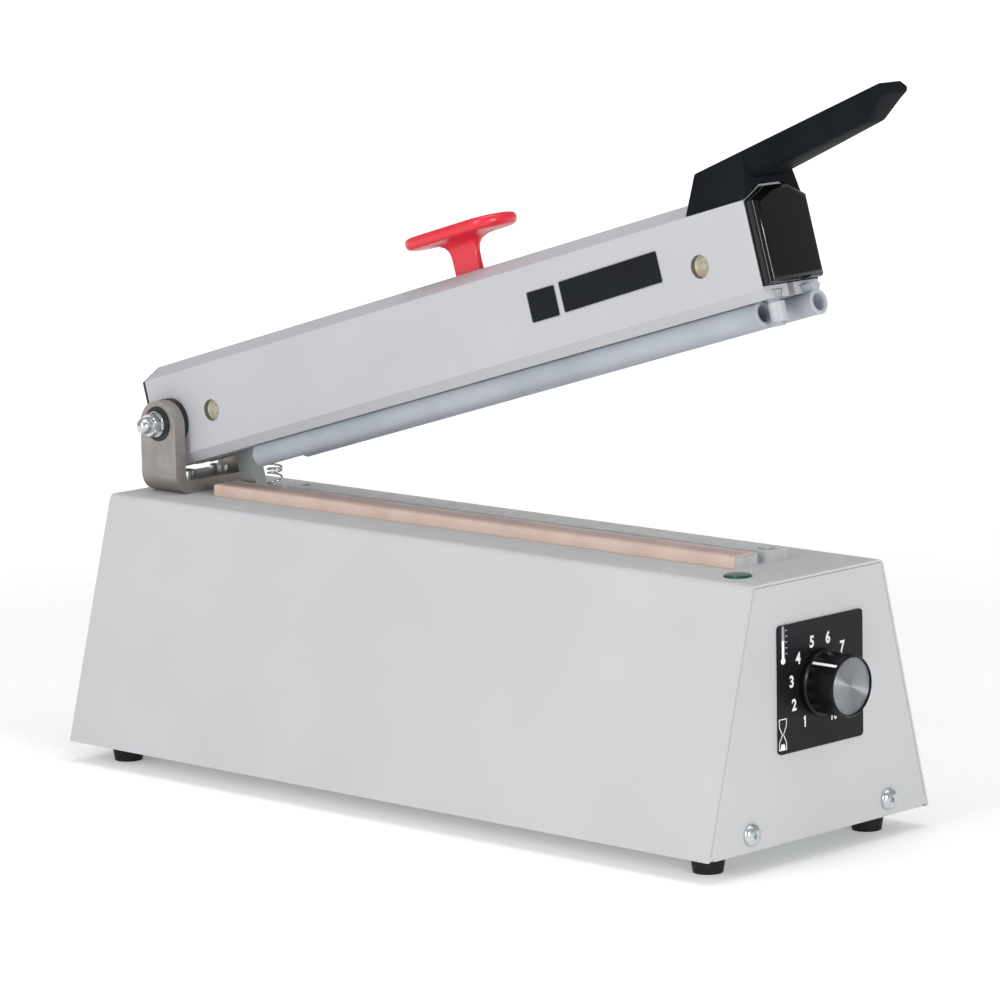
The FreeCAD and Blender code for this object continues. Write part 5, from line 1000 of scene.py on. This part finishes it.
# %% Weld beads in the lower corners
cover_low, cover_high = box_mm("housing_cover")
panel_low, panel_high = box_mm("front_end_panel")
build = bmesh.new()
for end in (cover_low.x + 0.75, cover_high.x - 0.75):
    for across in (panel_low.y + 0.9, panel_high.y - 0.9):
        ball = bmesh.ops.create_icosphere(build, subdivisions=3, radius=1.0)["verts"]
        bmesh.ops.scale(build, vec=(0.95, 1.5, 1.35), verts=ball)
        bmesh.ops.translate(build, vec=(end, across, panel_low.z + 1.1), verts=ball)
add_piece("corner_welds", to_mesh("corner_welds", build), "base", COVER_PAINT)
print("welds added")

# %% [markdown]
# The cord enters through a moulded bush low on the far side. Its flange lies on the leaning wall, so the wall's
# angle is read from the cover: from its foot to its shoulder. The bush is turned about that wall's normal.

# %% Cable bush
side_points = [vertex.co / MM for vertex in frame["nodes"]["housing_cover"].data.vertices]
foot = max(side_points, key=lambda point: point.y)
shoulder = max((point for point in side_points if point.z > 85), key=lambda point: point.y)
lean = math.atan2(foot.y - shoulder.y, shoulder.z - foot.z)
bush_low, bush_high = box_mm("cable_bush")
up_wall = 38.0
seat = Vector(((bush_low.x + bush_high.x) / 2, foot.y - up_wall * math.tan(lean), foot.z + up_wall))
build = bmesh.new()
lathe(build, [(-5.5, 2.8), (-5.5, 4.8), (0, 5.0), (0, 6.6), (1.3, 6.6), (1.9, 6.1), (2.2, 4.9), (7.9, 4.1),
              (8.6, 3.5), (8.6, 2.8)], closed=True)
place = Matrix.Translation(seat * MM) @ Matrix.Rotation(lean - math.radians(90), 4, "X")
bush = add_piece("cable_bush_moulding", to_mesh("cable_bush_moulding", build), "base", BLACK_NYLON, place)
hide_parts("cable_bush")
print("cable bush on a wall that leans", round(math.degrees(lean), 1), "degrees")

# %% [markdown]
# The studio: a pale sweep with a painted glow, an emission that is weak near the object and stronger further out,
# a large soft light and an upright strip from the near side, a small one towards the dial, a weak one from the right
# and a large one above. Large lights give soft edges; the strip draws the bright line on the cap, and the dial's
# light the wedges on the insert. The weak world light keeps black plastics black.

# %% Floor and lights
LIGHT_DISTANCE = 2.4
LIGHT_AIM = Vector((0, 0, 0.1))


def soft_light(name, azimuth, elevation, width, height, power):
    lamp = bpy.data.lights.new(name, "AREA")
    lamp.shape = "ELLIPSE" if width > 0.5 else "RECTANGLE"
    lamp.size = width
    lamp.size_y = height
    lamp.energy = power
    holder = bpy.data.objects.new(name, lamp)
    bpy.context.collection.objects.link(holder)
    back = look_direction(azimuth, elevation)
    holder.location = LIGHT_AIM + back * LIGHT_DISTANCE
    holder.rotation_euler = back.to_track_quat("Z", "Y").to_euler()


def lit_paper():
    """White background paper with a painted glow: an emission, weak near the middle of the floor and stronger further
    out.
    """
    material, place = new_finish("glowing_white_background_paper")
    fibre = add_node(material, "ShaderNodeTexNoise", Vector=place, Scale=per_mm(3), Detail=2.0)
    away = add_node(material, "ShaderNodeVectorMath", {"operation": "LENGTH"})
    material.node_tree.links.new(place, away.inputs[0])
    # Painted glow: the emission strength rises from 0.2 within 0.4 m of the floor's middle to 0.75 beyond 1.6 m.
    glow = add_node(material, "ShaderNodeMapRange", Value=away.outputs["Value"], From_Min=0.4, From_Max=1.6,
                    To_Min=0.2, To_Max=0.75)
    shader = add_node(material, "ShaderNodeBsdfPrincipled",
                      Base_Color=two_tones(material, fibre.outputs["Fac"], "F2F2F2", "F6F6F6"),
                      Roughness=0.9, Specular_IOR_Level=0.1, Emission_Color=linear("FFFFFF"),
                      Emission_Strength=glow.outputs["Result"])
    return finish_with(material, shader)


def pale_floor():
    sheet = bpy.data.meshes.new("floor")
    reach = 6.0
    sheet.from_pydata([(-reach, -reach, 0), (reach, -reach, 0), (reach, reach, 0), (-reach, reach, 0)], [],
                      [(0, 1, 2, 3)])
    floor = bpy.data.objects.new("floor", sheet)
    bpy.context.collection.objects.link(floor)
    sheet.materials.append(lit_paper())


def white_room(strength):
    world = bpy.data.worlds.new("white_room")
    world.use_nodes = True
    world.node_tree.nodes["Background"].inputs["Color"].default_value = linear("FFFFFF")
    world.node_tree.nodes["Background"].inputs["Strength"].default_value = strength
    bpy.context.scene.world = world


pale_floor()
white_room(0.45)
soft_light("key_light", -4, 30, 1.6, 1.6, 7)
soft_light("strip_light", 6, 15, 0.45, 1.3, 12)
soft_light("dial_light", 70, 10, 0.4, 0.4, 20)
soft_light("right_light", 110, 50, 1.2, 1.2, 3)
soft_light("top_light", 20, 85, 1.8, 1.8, 19)
bpy.context.scene.view_settings.view_transform = "Standard"
